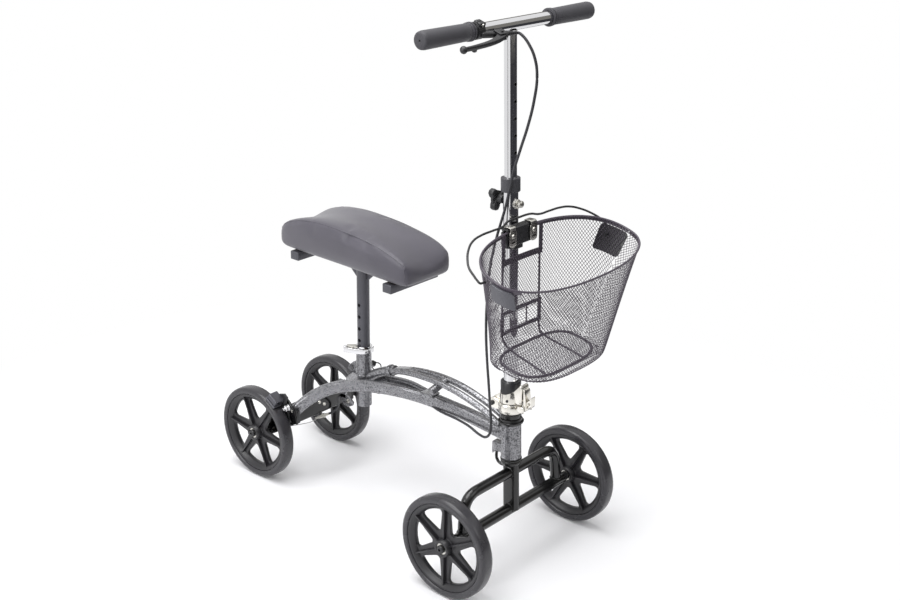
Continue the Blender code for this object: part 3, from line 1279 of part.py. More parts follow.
def make_socket(frame, clamp_lever_axis, lock_axis):
    socket = rod(SOCKET_D / 2, (0, POST_Y, SOCKET_BOTTOM_Z), (0, POST_Y, SOCKET_TOP_Z), 24)
    rear = POST_Y + SOCKET_D / 2
    gusset = side_plate(filleted([
        (rear - 0.0015, 0.2560),
        (rear + 0.0240, 0.2560),
        (rear + 0.0200, 0.2680),
        (rear + 0.0080, 0.2790),
        (rear - 0.0015, 0.2790),
    ], 0.003, 2), 0.006, 0)
    lock_z = 0.272
    boss = rod(0.0075, (SOCKET_D / 2 - 0.002, POST_Y, lock_z), (SOCKET_D / 2 + 0.0045, POST_Y, lock_z), 14)
    socket = joined(socket, gusset, boss)
    bore = rod(SEAT_POST_D / 2 + SLIDE_GAP, (0, POST_Y, 0.1), (0, POST_Y, 0.4), 24)
    lock_bore = rod(0.0035 + GAP, (0, POST_Y, lock_z), (0.05, POST_Y, lock_z), 12)
    socket = cut(socket, bore, lock_bore)
    placed(socket, 'seat_socket', 'hammered_grey', FRAME_SPACE, frame)

    pin_start = SEAT_POST_D / 2 + 2 * SLIDE_GAP
    pin = rod(0.0035, (pin_start, POST_Y, lock_z), (SOCKET_D / 2 + 0.012, POST_Y, lock_z), 12)
    knob = turned([
        (0, 0.008),
        (0.0055, 0.008),
        (0.0068, 0.006),
        (0.0068, 0.002),
        (0.0055, 0),
        (0, 0),
    ], at=(SOCKET_D / 2 + 0.0055, POST_Y, lock_z), axis=(1, 0, 0), sides=12)
    ring = turned([
        (0.0100, 0.0011),
        (0.0100, -0.0011),
        (0.0078, -0.0011),
        (0.0078, 0.0011),
    ], at=(SOCKET_D / 2 + 0.0155, POST_Y - 0.004, lock_z - 0.008), axis=(1, -0.9, 0), sides=14, ring=True)
    link_post = rod(0.0022, (SOCKET_D / 2 + 0.010, POST_Y, lock_z), (SOCKET_D / 2 + 0.0158, POST_Y, lock_z), 10)
    pin = joined(pin, knob, link_post, ring)
    placed(pin, 'seat_lock_pin', 'black_plastic', FRAME_SPACE, lock_axis)

    base = SOCKET_TOP_Z + GAP
    groove_r = SEAT_CLAMP_D / 2 - 0.0015
    clamp = turned([
        (0, base + SEAT_CLAMP_H),
        (SEAT_CLAMP_D / 2 - 0.001, base + SEAT_CLAMP_H),
        (SEAT_CLAMP_D / 2, base + SEAT_CLAMP_H - 0.001),
        (SEAT_CLAMP_D / 2, base + 0.0125),
        (groove_r, base + 0.0125),
        (groove_r, base + 0.0085),
        (SEAT_CLAMP_D / 2, base + 0.0085),
        (SEAT_CLAMP_D / 2, base + 0.001),
        (SEAT_CLAMP_D / 2 - 0.001, base),
        (0, base),
    ], at=(0, POST_Y, 0), sides=20)
    lug_z = base + SEAT_CLAMP_H / 2
    lug = block((0.018, 0.016, SEAT_CLAMP_H * 0.8), (-0.0250, POST_Y + 0.003, lug_z), edge=0.0015, rounds=1)
    clamp = joined(clamp, lug)
    bore = rod(SEAT_POST_D / 2 + SLIDE_GAP, (0, POST_Y, 0.2), (0, POST_Y, 0.4), 24)
    pivot_bore = rod(0.0025 + GAP, (-0.0295, POST_Y + 0.003, 0.2), (-0.0295, POST_Y + 0.003, 0.4), 8)
    clamp = cut(clamp, bore, pivot_bore)
    placed(clamp, 'seat_clamp', 'chrome', FRAME_SPACE, frame)

    # The lever wraps round the back of the clamp and swings out on its upright pin
    outline = []
    for radius, way in ((0.0262, 1), (0.0222, -1)):
        for k in range(6):
            angle = math.radians(114 + way * (30 - 12 * k))
            outline.append((radius * math.cos(angle), POST_Y + radius * math.sin(angle)))
    handle = flat(outline, 0.010, Matrix.Translation((0, 0, lug_z)))
    lug_top = lug_z + SEAT_CLAMP_H * 0.4
    plate = block((0.0130, 0.0225, 0.0030), (-0.0300, POST_Y + 0.00725, lug_top + GAP + 0.0015))
    knuckle = block((0.0165, 0.0060, 0.0160), (-0.0275, POST_Y + 0.0155, lug_top + GAP + 0.0025 - 0.008))
    pin = rod(0.0025, (-0.0295, POST_Y + 0.003, lug_z - 0.0105), (-0.0295, POST_Y + 0.003, lug_top + 0.004), 8)
    lever = joined(plate, knuckle, handle, pin)
    placed(lever, 'seat_clamp_lever', 'chrome', FRAME_SPACE, clamp_lever_axis)


def make_rear(frame):
    beam = block((BEAM_L, BEAM_D, BEAM_H), (0, BEAM_Y, BEAM_Z), edge=0.002)
    pieces = []
    face = BEAM_L / 2 + AXLE_ARM_T / 2
    low = BEAM_Z - BEAM_H / 2
    for side in (-1, 1):
        pieces.append(block((END_BLOCK_T, END_BLOCK_D, END_BLOCK_H),
                            (side * (BEAM_L / 2 - 0.0005), BEAM_Y, BEAM_Z + 0.001)))
        outline = filleted([
            (BEAM_Y - 0.008, low + 0.004),
            (-AXLE_ARM_R * 0.5, AXLE_Z - AXLE_ARM_R),
            (AXLE_ARM_R * 0.8, AXLE_Z - AXLE_ARM_R * 0.8),
            (AXLE_ARM_R * 0.9, AXLE_Z + AXLE_ARM_R * 0.8),
            (BEAM_Y + 0.011, low + BEAM_H),
            (BEAM_Y - 0.008, low + BEAM_H),
        ], 0.006, 3)
        pieces.append(side_plate(outline, AXLE_ARM_T, side * (face - AXLE_ARM_T / 2 - 0.0025)))
    for y in (-0.0860, -0.0640):
        pieces.append(block((0.012, 0.0040, 0.014), (BRAKE_PIVOT_X + 0.0015, y, BRAKE_PIVOT_Z)))
    pieces.append(block((0.0070, 0.0240, 0.0020), (BRAKE_PIVOT_X + 0.0045, BEAM_Y, SPRING_TOP_Z + GAP + 0.001)))
    beam = joined(beam, *pieces)
    pivot_bore = rod(BRAKE_PIVOT_D / 2 + GAP, (BRAKE_PIVOT_X, -0.1, BRAKE_PIVOT_Z),
                     (BRAKE_PIVOT_X, -0.05, BRAKE_PIVOT_Z), 10)
    beam = cut(beam, pivot_bore)
    placed(beam, 'rear_beam', 'gloss_black', FRAME_SPACE, frame)

    bolt_z = BRAKE_PIVOT_Z
    pivot = turned([
        (0, 0.0165),
        (0.0042, 0.0165),
        (0.0042, 0.0132),
        (BRAKE_PIVOT_D / 2, 0.0132),
        (BRAKE_PIVOT_D / 2, -0.0132),
        (0.0042, -0.0132),
        (0.0042, -0.0165),
        (0, -0.0165),
    ], at=(BRAKE_PIVOT_X, BEAM_Y, bolt_z), axis=(0, 1, 0), sides=10)
    placed(pivot, 'brake_pivot_bolt', 'chrome', FRAME_SPACE, frame)

    arm_face = BEAM_L / 2 + AXLE_ARM_T / 2 - 0.0025 + GAP
    for side, name in ((-1, 'right'), (1, 'left')):
        hub_inner = REAR_TRACK / 2 - HUB_L / 2 - TURN_GAP
        head = REAR_TRACK / 2 + HUB_L / 2 + TURN_GAP
        axle = turned([
            (0, head + AXLE_HEAD_T),
            (AXLE_HEAD_D / 2 - 0.001, head + AXLE_HEAD_T),
            (AXLE_HEAD_D / 2, head),
            (AXLE_D / 2, head),
            (AXLE_D / 2, hub_inner),
            (SPACER_D / 2, hub_inner),
            (SPACER_D / 2, arm_face),
            (0, arm_face),
        ], at=(0, 0, AXLE_Z), axis=(side, 0, 0), sides=14)
        placed(axle, 'rear_axle_' + name, 'dark_steel', FRAME_SPACE, frame)


# Brake, cable and its clips, in the frame's space

def make_brake(brake):
    boss = rod(BRAKE_BOSS_D / 2, (BRAKE_PIVOT_X, -0.0835, BRAKE_PIVOT_Z), (BRAKE_PIVOT_X, -0.0665, BRAKE_PIVOT_Z), 14)
    low_z = BRAKE_PIVOT_Z - BRAKE_ARM_L
    lower = block((0.0034, 0.013, BRAKE_ARM_L), (BRAKE_PIVOT_X - 0.0021, BEAM_Y, BRAKE_PIVOT_Z - BRAKE_ARM_L / 2))
    upper = block((0.0050, 0.0165, 0.030), (BRAKE_PIVOT_X - 0.0005, BEAM_Y, BRAKE_PIVOT_Z + 0.0145))
    shelf = block((0.0045, 0.0070, 0.0020), (BRAKE_PIVOT_X + 0.0010, BEAM_Y, SPRING_TOP_Z - SPRING_L - GAP - 0.001))
    head = block((0.016, 0.018, 0.017), (BRAKE_PIVOT_X - 0.0030, BEAM_Y, BRAKE_PIVOT_Z + 0.0290), edge=0.0015,
                 rounds=1)
    wheel_x = -REAR_TRACK / 2
    carrier_r = WHEEL_R + SHOE_GAP + SHOE_T + GAP + 0.002
    out = Vector((0, math.cos(SHOE_ANGLE), math.sin(SHOE_ANGLE)))
    middle = Vector((wheel_x, 0, AXLE_Z)) + out * carrier_r
    carrier = block((0.034, 0.030, 0.0040), (middle.x + 0.0015, middle.y, middle.z),
                    turn=(SHOE_ANGLE - math.pi / 2, 0, 0), edge=0.001, rounds=1)
    nut_at = middle + out * 0.002
    nut = rod(0.0055, nut_at, nut_at + out * 0.006, 6)
    arm = joined(boss, lower, upper, shelf, head, carrier, nut)
    bore = rod(BRAKE_PIVOT_D / 2 + GAP, (BRAKE_PIVOT_X, -0.1, BRAKE_PIVOT_Z), (BRAKE_PIVOT_X, -0.05, BRAKE_PIVOT_Z),
               10)
    wire_bore = rod(WIRE_D / 2 + GAP, (BRAKE_PIVOT_X - 0.01, BEAM_Y, low_z + 0.0025),
                    (BRAKE_PIVOT_X + 0.01, BEAM_Y, low_z + 0.0025), 6)
    arm = cut(arm, bore, wire_bore)
    placed(arm, 'brake_arm', 'dark_steel', FRAME_SPACE, brake)

    inner = WHEEL_R + SHOE_GAP
    outline = []
    for radius, way in ((inner, 1), (inner + SHOE_T, -1)):
        for k in range(7):
            angle = SHOE_ANGLE + way * SHOE_SPAN * (k / 6 - 0.5)
            outline.append((radius * math.cos(angle), AXLE_Z + radius * math.sin(angle)))
    shoe = side_plate(outline, SHOE_W, wheel_x)
    seat = block((0.06, 0.06, 0.02), Vector((wheel_x, 0, AXLE_Z)) + out * (carrier_r - 0.002 - GAP + 0.01),
                 turn=(SHOE_ANGLE - math.pi / 2, 0, 0))
    shoe = cut(shoe, seat)
    placed(shoe, 'brake_shoe', 'black_plastic', FRAME_SPACE, brake)


def make_spring(frame):
    # The return spring beside the arm, one unbroken wire of close curls
    top = SPRING_TOP_Z - SPRING_WIRE_D / 2
    length = SPRING_L - SPRING_WIRE_D
    x = BRAKE_PIVOT_X + 0.0029
    radius = (SPRING_D - SPRING_WIRE_D) / 2
    per_curl = 8
    points = []
    for k in range(SPRING_CURLS * per_curl + 1):
        angle = math.tau * k / per_curl
        points.append(Vector((x + radius * math.cos(angle), BEAM_Y + radius * math.sin(angle),
                              top - length * k / (SPRING_CURLS * per_curl))))
    pitch = length / SPRING_CURLS
    print('brake_spring least gap between curls, mm:', round((pitch - SPRING_WIRE_D) * 1000, 2))
    spring = tube(points, SPRING_WIRE_D / 2, 1)
    placed(spring, 'brake_spring', 'chrome', FRAME_SPACE, frame)


ADJUSTER_Y = -0.0925
ADJUSTER_Z = 0.1275


def make_cable_ends(frame):
    tab = side_plate(filleted([
        (-0.1280, 0.1700),
        (-0.1440, 0.1640),
        (-0.1700, 0.1790),
        (POST_Y + SOCKET_D / 2 + GAP, 0.1960),
        (POST_Y + SOCKET_D / 2 + GAP, 0.2260),
        (-0.1500, 0.2145),
        (-0.1300, 0.1960),
    ], 0.005, 3), 0.004, 0)
    bolt = rod(0.0048, (-0.0060, -0.1440, 0.1800), (0.0060, -0.1440, 0.1800), 12)
    tab = joined(tab, bolt)
    placed(tab, 'cable_tab', 'hammered_grey', FRAME_SPACE, frame)

    adjuster = turned([
        (0, 0.0170),
        (0.0030, 0.0170),
        (0.0030, 0.0080),
        (0.0045, 0.0080),
        (0.0045, 0.0020),
        (0.0060, 0.0020),
        (0.0060, -0.0030),
        (0.0040, -0.0030),
        (0.0040, -0.0170),
        (0, -0.0170),
    ], at=(-0.0140, ADJUSTER_Y, ADJUSTER_Z), axis=(1, 0, 0), sides=12)
    clip = block((0.0120, 0.0130, 0.0030), (-0.0140, ADJUSTER_Y + 0.0075, ADJUSTER_Z + 0.0037))
    adjuster = joined(adjuster, clip)
    placed(adjuster, 'cable_adjuster', 'chrome', FRAME_SPACE, frame)


def column_to_frame(x, v, s):
    return FRAME_SPACE.inverted() @ COLUMN_SPACE @ Vector((x, v, s))


CLAMP_POINT = (-0.0182, -0.0096, 0.6190)
HINGE_POINT = (-0.0327, 0.0236, 0.2230)


def make_cables(frame, column):
    start_x = 0.0868 - GRIP_INNER_X
    upper = [
        (start_x, -0.0278, 0.8979),
        (start_x + 0.0032, -0.0284, 0.8977),
        (start_x + 0.0058, -0.0345, 0.8935),
        (start_x + 0.0088, -0.0465, 0.8790),
        (-0.0052, -0.0560, 0.8572),
        (-0.0030, -0.0591, 0.8290),
        (-0.0037, -0.0537, 0.7867),
        (-0.0071, -0.0437, 0.7435),
        (-0.0112, -0.0298, 0.6993),
        (-0.0145, -0.0190, 0.6632),
        (-0.0158, -0.0148, 0.6442),
        CLAMP_POINT,
    ]
    middle = [
        (-0.0182, -0.0096, 0.6187),
        (-0.0204, -0.0055, 0.5986),
        (-0.0251, 0.0022, 0.5669),
        (-0.0281, 0.0080, 0.5443),
        (-0.0353, 0.0185, 0.4859),
        (-0.0383, 0.0235, 0.4237),
        (-0.0394, 0.0255, 0.3663),
        (-0.0377, 0.0251, 0.3076),
        (-0.0345, 0.0241, 0.2550),
        HINGE_POINT,
    ]
    start = column_to_frame(-0.0327, 0.0236, 0.2227)
    lower = [
        tuple(start),
        (-0.0305, -0.5652, 0.2949),
        (-0.0300, -0.5660, 0.2740),
        (-0.0290, -0.5622, 0.2540),
        (-0.0270, -0.5504, 0.2428),
        (-0.0245, -0.5348, 0.2418),
        (-0.0200, -0.5064, 0.2470),
        (-0.0165, -0.4783, 0.2492),
        (-0.0125, -0.4169, 0.2512),
        (-0.0040, -0.3800, 0.2560),
        (0.0000, -0.3400, 0.2570),
        (0.0000, -0.3000, 0.2500),
        (0.0030, -0.2620, 0.2350),
        (0.0170, -0.2320, 0.2170),
        (0.0240, -0.2060, 0.2110),
        (0.0160, -0.1800, 0.2090),
        (0.0056, -0.1520, 0.2020),
        (0.0064, -0.1280, 0.1830),
        (0.0200, -0.1080, 0.1560),
        (0.0270, -0.0980, 0.1380),
        (0.0200, -0.0935, 0.1285),
        (0.0034, ADJUSTER_Y, ADJUSTER_Z),
    ]
    radius = CABLE_D / 2
    placed(tube(smooth_route(upper, 24), radius, 2), 'cable_upper', 'cable_jacket', COLUMN_SPACE, column)
    placed(tube(smooth_route(middle, 24), radius, 2), 'cable_middle', 'cable_jacket', COLUMN_SPACE, column)
    placed(tube(smooth_route(lower, 32), radius, 2), 'cable_lower', 'cable_jacket', FRAME_SPACE, frame)

    wire_end = BRAKE_PIVOT_Z - BRAKE_ARM_L + 0.0025
    wire = tube(smooth_route([
        (-0.0314, ADJUSTER_Y, ADJUSTER_Z),
        (-0.0500, ADJUSTER_Y, ADJUSTER_Z - 0.0004),
        (BRAKE_PIVOT_X + 0.0180, -0.0840, wire_end + 0.0004),
        (BRAKE_PIVOT_X + 0.0010, BEAM_Y, wire_end),
        (BRAKE_PIVOT_X - 0.0036, BEAM_Y, wire_end),
    ], 14), WIRE_D / 2, 2)
    placed(wire, 'brake_wire', 'chrome', FRAME_SPACE, frame)


# Seat, in a space whose origin is on the floor under the seat post

SEAT_SPACE = FRAME_SPACE @ Matrix.Translation((0, POST_Y, 0))


def make_seat(seat):
    post = turned([
        (0, SEAT_POST_TOP_Z),
        (SEAT_POST_D / 2, SEAT_POST_TOP_Z),
        (SEAT_POST_D / 2, SEAT_POST_BOTTOM_Z),
        (0, SEAT_POST_BOTTOM_Z),
    ], sides=24)
    holes = []
    for k in range(SEAT_HOLES):
        z = SEAT_HOLE_TOP_Z - k * SEAT_HOLE_PITCH
        holes.append(rod(SEAT_HOLE_D / 2, (-0.03, 0, z), (0.03, 0, z), 6))
    post = cut(post, *holes)
    low = SEAT_POST_TOP_Z - 0.003
    gussets = []
    for side in (-1, 1):
        near = side * (SEAT_POST_D / 2 - 0.002)
        gussets.append(side_plate([
            (near, low + 0.004),
            (near, low - GUSSET_DROP),
            (side * (SEAT_POST_D / 2 + 0.004), low - GUSSET_DROP),
            (side * GUSSET_REACH, low - 0.003),
            (side * GUSSET_REACH, low + 0.004),
        ], GUSSET_T, 0))
    rail_top = PAD_BOTTOM_Z - GAP - BATTEN_H - GAP
    rail_low = FRONT_BATTEN_Y - BATTEN_D / 2
    rail_high = REAR_BATTEN_Y + BATTEN_D / 2
    rail = block((SEAT_RAIL_W, rail_high - rail_low, rail_top - low),
                 (0, (rail_high + rail_low) / 2, (rail_top + low) / 2), edge=0.0015, rounds=1)
    post = joined(post, *gussets, rail)
    placed(post, 'seat_post', 'dark_steel', SEAT_SPACE, seat)

    batten_z = PAD_BOTTOM_Z - GAP - BATTEN_H / 2
    for y, name in ((FRONT_BATTEN_Y, 'front_batten'), (REAR_BATTEN_Y, 'rear_batten')):
        batten = block((BATTEN_L, BATTEN_D, BATTEN_H), (0, y, batten_z), edge=0.0012, rounds=1)
        placed(batten, name, 'black_plastic', SEAT_SPACE, seat)

    board = block((BOARD_W, BOARD_L, BOARD_T), (0, -0.003, PAD_BOTTOM_Z + BOARD_T / 2), edge=0.001, rounds=1)
    placed(board, 'seat_board', 'plywood', SEAT_SPACE, seat)
    make_pad(seat)


def make_pad(seat):
    # Stations from the front to the back: place, half width, seam height, underside height
    stations = [
        (-0.1810, 0.052, 0.5400, 0.5200),
        (-0.1665, 0.064, 0.5630, 0.5100),
        (-0.1400, 0.067, 0.5760, 0.5080),
        (-0.0880, 0.0685, 0.5840, 0.5080),
        (0.0000, 0.0685, 0.5860, 0.5080),
        (0.0750, 0.0685, 0.5820, 0.5080),
        (0.1300, 0.067, 0.5730, 0.5080),
        (0.1600, 0.064, 0.5590, 0.5085),
        (0.1750, 0.059, 0.5460, 0.5120),
        (0.1780, 0.052, 0.5360, 0.5180),
    ]
    rings = []
    for y, half, seam, low in stations:
        waist = (seam + low) / 2
        inward = 0.0020
        side = [
            (0.55 * half, low),
            (0.93 * half, low),
            (1.00 * half, low + 0.0060),
            (1.00 * half - inward, waist),
            (1.00 * half, seam - 0.0050),
            (0.95 * half, seam + 0.0010),
            (0.72 * half, seam - 0.0010),
            (0.36 * half, seam - 0.65 * PAD_DIP),
            (0.0, seam - PAD_DIP),
        ]
        ring = [(0.0, low)] + side
        ring += [(-x, z) for x, z in reversed(side[:-1])]
        rings.append([Vector((x, y, z)) for x, z in ring])
    pad = lofted(rings)
    soft = pad.modifiers.new('soft', 'SUBSURF')
    soft.levels = 1
    soft.render_levels = 1
    pad = baked(pad)
    base = block((0.2, 0.4, 0.02), (0, 0, PAD_BOTTOM_Z - 0.01))
    pocket = block((BOARD_W + 2 * GAP, BOARD_L + 2 * GAP, BOARD_T + GAP + 0.01),
                   (0, -0.003, PAD_BOTTOM_Z + (BOARD_T + GAP - 0.01) / 2))
    pad = cut(pad, base, pocket)
    placed(pad, 'seat_pad', 'seat_vinyl', SEAT_SPACE, seat, 60)


# Joint axes and assembly

def make_axes():
    axes = {'frame': axis_empty('frame_axis', FRAME_SPACE)}

    def add(name, matrix, parent):
        axes[name] = axis_empty(name + '_axis', matrix, axes[parent])

    add('rear_right', Matrix.Translation((-REAR_TRACK / 2, REAR_Y, AXLE_Z)), 'frame')
    add('rear_left', Matrix.Translation((REAR_TRACK / 2, REAR_Y, AXLE_Z)), 'frame')
    add('seat', SEAT_SPACE, 'frame')
    add('seat_clamp_lever', FRAME_SPACE @ Matrix.Translation((-0.0295, POST_Y + 0.003, SOCKET_TOP_Z)), 'frame')
    add('seat_lock', FRAME_SPACE @ Matrix.Translation((SOCKET_D / 2, POST_Y, 0.272)), 'frame')
    add('brake', FRAME_SPACE @ Matrix.Translation((BRAKE_PIVOT_X, BEAM_Y, BRAKE_PIVOT_Z)), 'frame')
    add('steering', COLUMN_SPACE, 'frame')
    add('front_right', Matrix.Translation((-FRONT_TRACK / 2, FRONT_Y, AXLE_Z)), 'steering')
    add('front_left', Matrix.Translation((FRONT_TRACK / 2, FRONT_Y, AXLE_Z)), 'steering')
    add('fold_lever', COLUMN_SPACE @ Matrix.Translation((0, LEVER_PIVOT_V + 0.004, LEVER_PIVOT_S)), 'steering')
    add('column', COLUMN_SPACE @ Matrix.Translation((0, HINGE_PIN_V, HINGE_PIN_S)), 'steering')
    add('clamp_knob', COLUMN_SPACE @ Matrix.Translation((0, COLUMN_D / 2, PIN_S)), 'column')
    add('height_pin', COLUMN_SPACE @ Matrix.Translation((0, -COLUMN_D / 2, PIN_S)), 'column')
    add('stem', COLUMN_SPACE @ Matrix.Translation((0, 0, BAR_S)), 'column')
    add('brake_lever', LEVER_SPACE @ Matrix.Translation((*LEVER_PIVOT, 0)), 'stem')
    add('basket', COLUMN_SPACE @ Matrix.Translation((0, BASKET_RIM_BACK_V, BASKET_RIM_S)), 'column')
    add('basket_bail', COLUMN_SPACE @ Matrix.Translation((0, BAIL_PIVOT_V, BAIL_PIVOT_S)), 'basket')
    return axes


def main():
    axes = make_axes()
    frame = axes['frame']
    steering = axes['steering']
    column = axes['column']
    make_wheels(axes)
    make_front_frame(steering)
    make_hinge(steering, column, axes['fold_lever'])
    make_column(column, axes['clamp_knob'])
    make_height_pin(axes['height_pin'])
    make_bracket(column)
    make_basket(axes['basket'])
    make_bail(axes['basket_bail'])
    make_handlebar(axes['stem'], axes['brake_lever'])
    make_lower_rails(frame)
    make_upper_rails(frame)
    make_head(frame)
    make_socket(frame, axes['seat_clamp_lever'], axes['seat_lock'])
    make_rear(frame)
    make_brake(axes['brake'])
    make_spring(frame)
    make_cable_ends(frame)
    make_cables(frame, column)
    make_seat(axes['seat'])


main()
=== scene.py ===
# Knee walker: every piece's finish and fine shape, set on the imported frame.
# Shapes are written in millimetres, +Z up, and addPiece brings them to metres.
# The front is -Y and the rider's right hand is on -X.
import bisect
import json
import math

import bmesh
import bpy
from mathutils import Matrix, Vector
from mathutils.bvhtree import BVHTree


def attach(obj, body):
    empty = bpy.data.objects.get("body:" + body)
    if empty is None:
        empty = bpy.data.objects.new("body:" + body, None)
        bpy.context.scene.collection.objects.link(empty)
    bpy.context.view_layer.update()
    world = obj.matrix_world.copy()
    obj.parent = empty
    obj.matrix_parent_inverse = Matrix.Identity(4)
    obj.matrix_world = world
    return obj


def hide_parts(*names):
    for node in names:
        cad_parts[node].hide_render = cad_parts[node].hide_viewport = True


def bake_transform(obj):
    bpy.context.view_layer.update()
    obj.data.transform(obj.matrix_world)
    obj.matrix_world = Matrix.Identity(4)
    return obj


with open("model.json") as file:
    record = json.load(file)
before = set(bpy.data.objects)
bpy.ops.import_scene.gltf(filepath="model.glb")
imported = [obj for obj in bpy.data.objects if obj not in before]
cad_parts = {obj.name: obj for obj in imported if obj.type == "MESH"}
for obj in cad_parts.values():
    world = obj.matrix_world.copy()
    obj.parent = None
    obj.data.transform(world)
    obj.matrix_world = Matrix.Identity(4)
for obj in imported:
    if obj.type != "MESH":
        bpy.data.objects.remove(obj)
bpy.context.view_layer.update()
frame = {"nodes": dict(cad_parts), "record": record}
nodes = frame["nodes"]
print("frame loaded:", len(nodes), "nodes")


def shift(x=0, y=0, z=0):
    return Matrix.Translation((x, y, z))


def spun(degrees, axis):
    return Matrix.Rotation(math.radians(degrees), 4, axis)


layout = {
    "rearY": 335.222,  # rear axle
    "frontY": -261.478,  # front axle
    "axleZ": 99.371,
    "rake": 2.3,  # degrees that the column leans back
    "seatY": -206,  # seat post, from the rear axle
    "barS": 908,  # handlebar, up the column from the front axle
    "leverDrop": 20,  # degrees that the brake lever hangs down
}
metres = Matrix.Scale(0.001, 4)
frameSpace = shift(y=layout["rearY"])
seatSpace = frameSpace @ shift(y=layout["seatY"])
columnSpace = shift(0, layout["frontY"], layout["axleZ"]) @ spun(-layout["rake"], "X")
barSpace = columnSpace @ shift(z=layout["barS"]) @ spun(layout["leverDrop"], "X")
sideOn = Matrix(((0, 0, 1, 0), (1, 0, 0, 0), (0, 1, 0, 0), (0, 0, 0, 1)))  # an outline of (y, z), standing across X
sides = ((-1, "Right"), (1, "Left"))
home = {"frame": frameSpace, "brake": frameSpace, "seat": seatSpace}  # every other body's is columnSpace


# ---- materials

def hexColor(code):
    channels = [int(code[i:i + 2], 16) / 255 for i in (1, 3, 5)]
    linear = [c / 12.92 if c <= 0.04045 else ((c + 0.055) / 1.055) ** 2.4 for c in channels]
    return (*linear, 1.0)


def addNode(tree, kind, settings=None, links=None):
    node = tree.nodes.new("ShaderNode" + kind)
    for key, value in (settings or {}).items():
        if isinstance(key, int) or key in node.inputs:
            node.inputs[key].default_value = value
        else:
            setattr(node, key, value)
    for key, source in (links or {}).items():
        tree.links.new(source, node.inputs[key])
    return node


def startMaterial(name, colour, roughness, extra=None):
    material = bpy.data.materials.new(name)
    material.use_nodes = True
    tree = material.node_tree
    shader = tree.nodes["Principled BSDF"]
    for key, value in {"Base Color": hexColor(colour), "Roughness": roughness, **(extra or {})}.items():
        shader.inputs[key].default_value = value
    return material, tree, shader, addNode(tree, "TexCoord").outputs["Object"]


def feed(tree, shader, **sources):
    # Links the pattern's nodes to the shader
    inputs = {"paint": ("Base Color", 2), "gloss": ("Roughness", 0), "bump": ("Normal", 0)}
    for key, node in sources.items():
        name, output = inputs[key]
        tree.links.new(node.outputs[output], shader.inputs[name])


def perMetre(millimetres):
    return 1000 / millimetres


def mottle(tree, place, spread, colours, glossRange, detail=3.0):
    # Colour and gloss that drift together over soft patches
    patch = addNode(tree, "TexNoise", {"Scale": perMetre(spread), "Detail": detail}, {"Vector": place})
    paint = addNode(tree, "Mix", {"data_type": "RGBA", 6: hexColor(colours[0]), 7: hexColor(colours[1])},
                    {0: patch.outputs["Fac"]})
    gloss = addNode(tree, "MapRange", {"To Min": glossRange[0], "To Max": glossRange[1]},
                    {"Value": patch.outputs["Fac"]})
    return {"paint": paint, "gloss": gloss}


def skin(tree, place, grit, strength, depth, detail=2.0):
    # Fine relief, its grit in millimetres and its depth in metres
    grain = addNode(tree, "TexNoise", {"Scale": perMetre(grit), "Detail": detail}, {"Vector": place})
    return addNode(tree, "Bump", {"Strength": strength, "Distance": depth}, {"Height": grain.outputs["Fac"]})


def makeHammertone():
    # Hammertone powder coat: dark cells with silver walls, which break up every highlight
    look = {"cell": 2.2, "base": "#7c7c80", "dark": "#3e3e42", "silver": "#9f9fa3", "dent": 0.00018}
    material, tree, shader, place = startMaterial("hammertonePowderCoat", look["base"], 0.30,
                                                  {"Metallic": 0.7, "Coat Weight": 0.7, "Coat Roughness": 0.10})
    cells = addNode(tree, "TexNoise", {"Scale": perMetre(look["cell"]), "Detail": 2.0, "Roughness": 0.55},
                    {"Vector": place})
    veins = addNode(tree, "MapRange", {"From Min": 0.40, "From Max": 0.62}, {"Value": cells.outputs["Fac"]})
    paint = addNode(tree, "Mix", {"data_type": "RGBA", 6: hexColor(look["dark"]), 7: hexColor(look["silver"])},
                    {0: veins.outputs["Result"]})
    gloss = addNode(tree, "MapRange", {"To Min": 0.40, "To Max": 0.24}, {"Value": veins.outputs["Result"]})
    dents = addNode(tree, "Bump", {"Strength": 0.5, "Distance": look["dent"]}, {"Height": cells.outputs["Fac"]})
    feed(tree, shader, paint=paint, gloss=gloss, bump=dents)
    return material


def makeGlossBlack():
    # Gloss black powder coat: a slight orange peel, and dust that dulls it a little in patches
    look = {"peel": 4.0, "patch": 45.0, "black": "#070708", "worn": "#0f0f10", "depth": 0.0002}
    material, tree, shader, place = startMaterial("glossBlackPowderCoat", look["black"], 0.16,
                                                  {"Coat Weight": 0.15, "Coat Roughness": 0.05})
    feed(tree, shader, **mottle(tree, place, look["patch"], (look["black"], look["worn"]), (0.12, 0.26)),
         bump=skin(tree, place, look["peel"], 0.12, look["depth"], 1.0))
    return material


def makeChrome(name, colour, low, high):
    # Polished metal plate: a mirror with faint wiping marks
    material, tree, shader, place = startMaterial(name, colour, low, {"Metallic": 1.0})
    smear = addNode(tree, "TexNoise", {"Scale": perMetre(14.0), "Detail": 4.0, "Distortion": 0.6}, {"Vector": place})
    gloss = addNode(tree, "MapRange", {"From Min": 0.35, "From Max": 0.75, "To Min": low, "To Max": high},
                    {"Value": smear.outputs["Fac"]})
    feed(tree, shader, gloss=gloss)
    return material


def makeMoulded(name, dark, light, grit, roughness, depth, extra=None):
    # Moulded plastic or rubber: even colour, a fine spark-eroded skin and slightly lighter rubbed patches
    material, tree, shader, place = startMaterial(name, dark, roughness, extra)
    feed(tree, shader, **mottle(tree, place, 28.0, (dark, light), (roughness - 0.07, roughness + 0.07)),
         bump=skin(tree, place, grit, 0.4, depth))
    return material


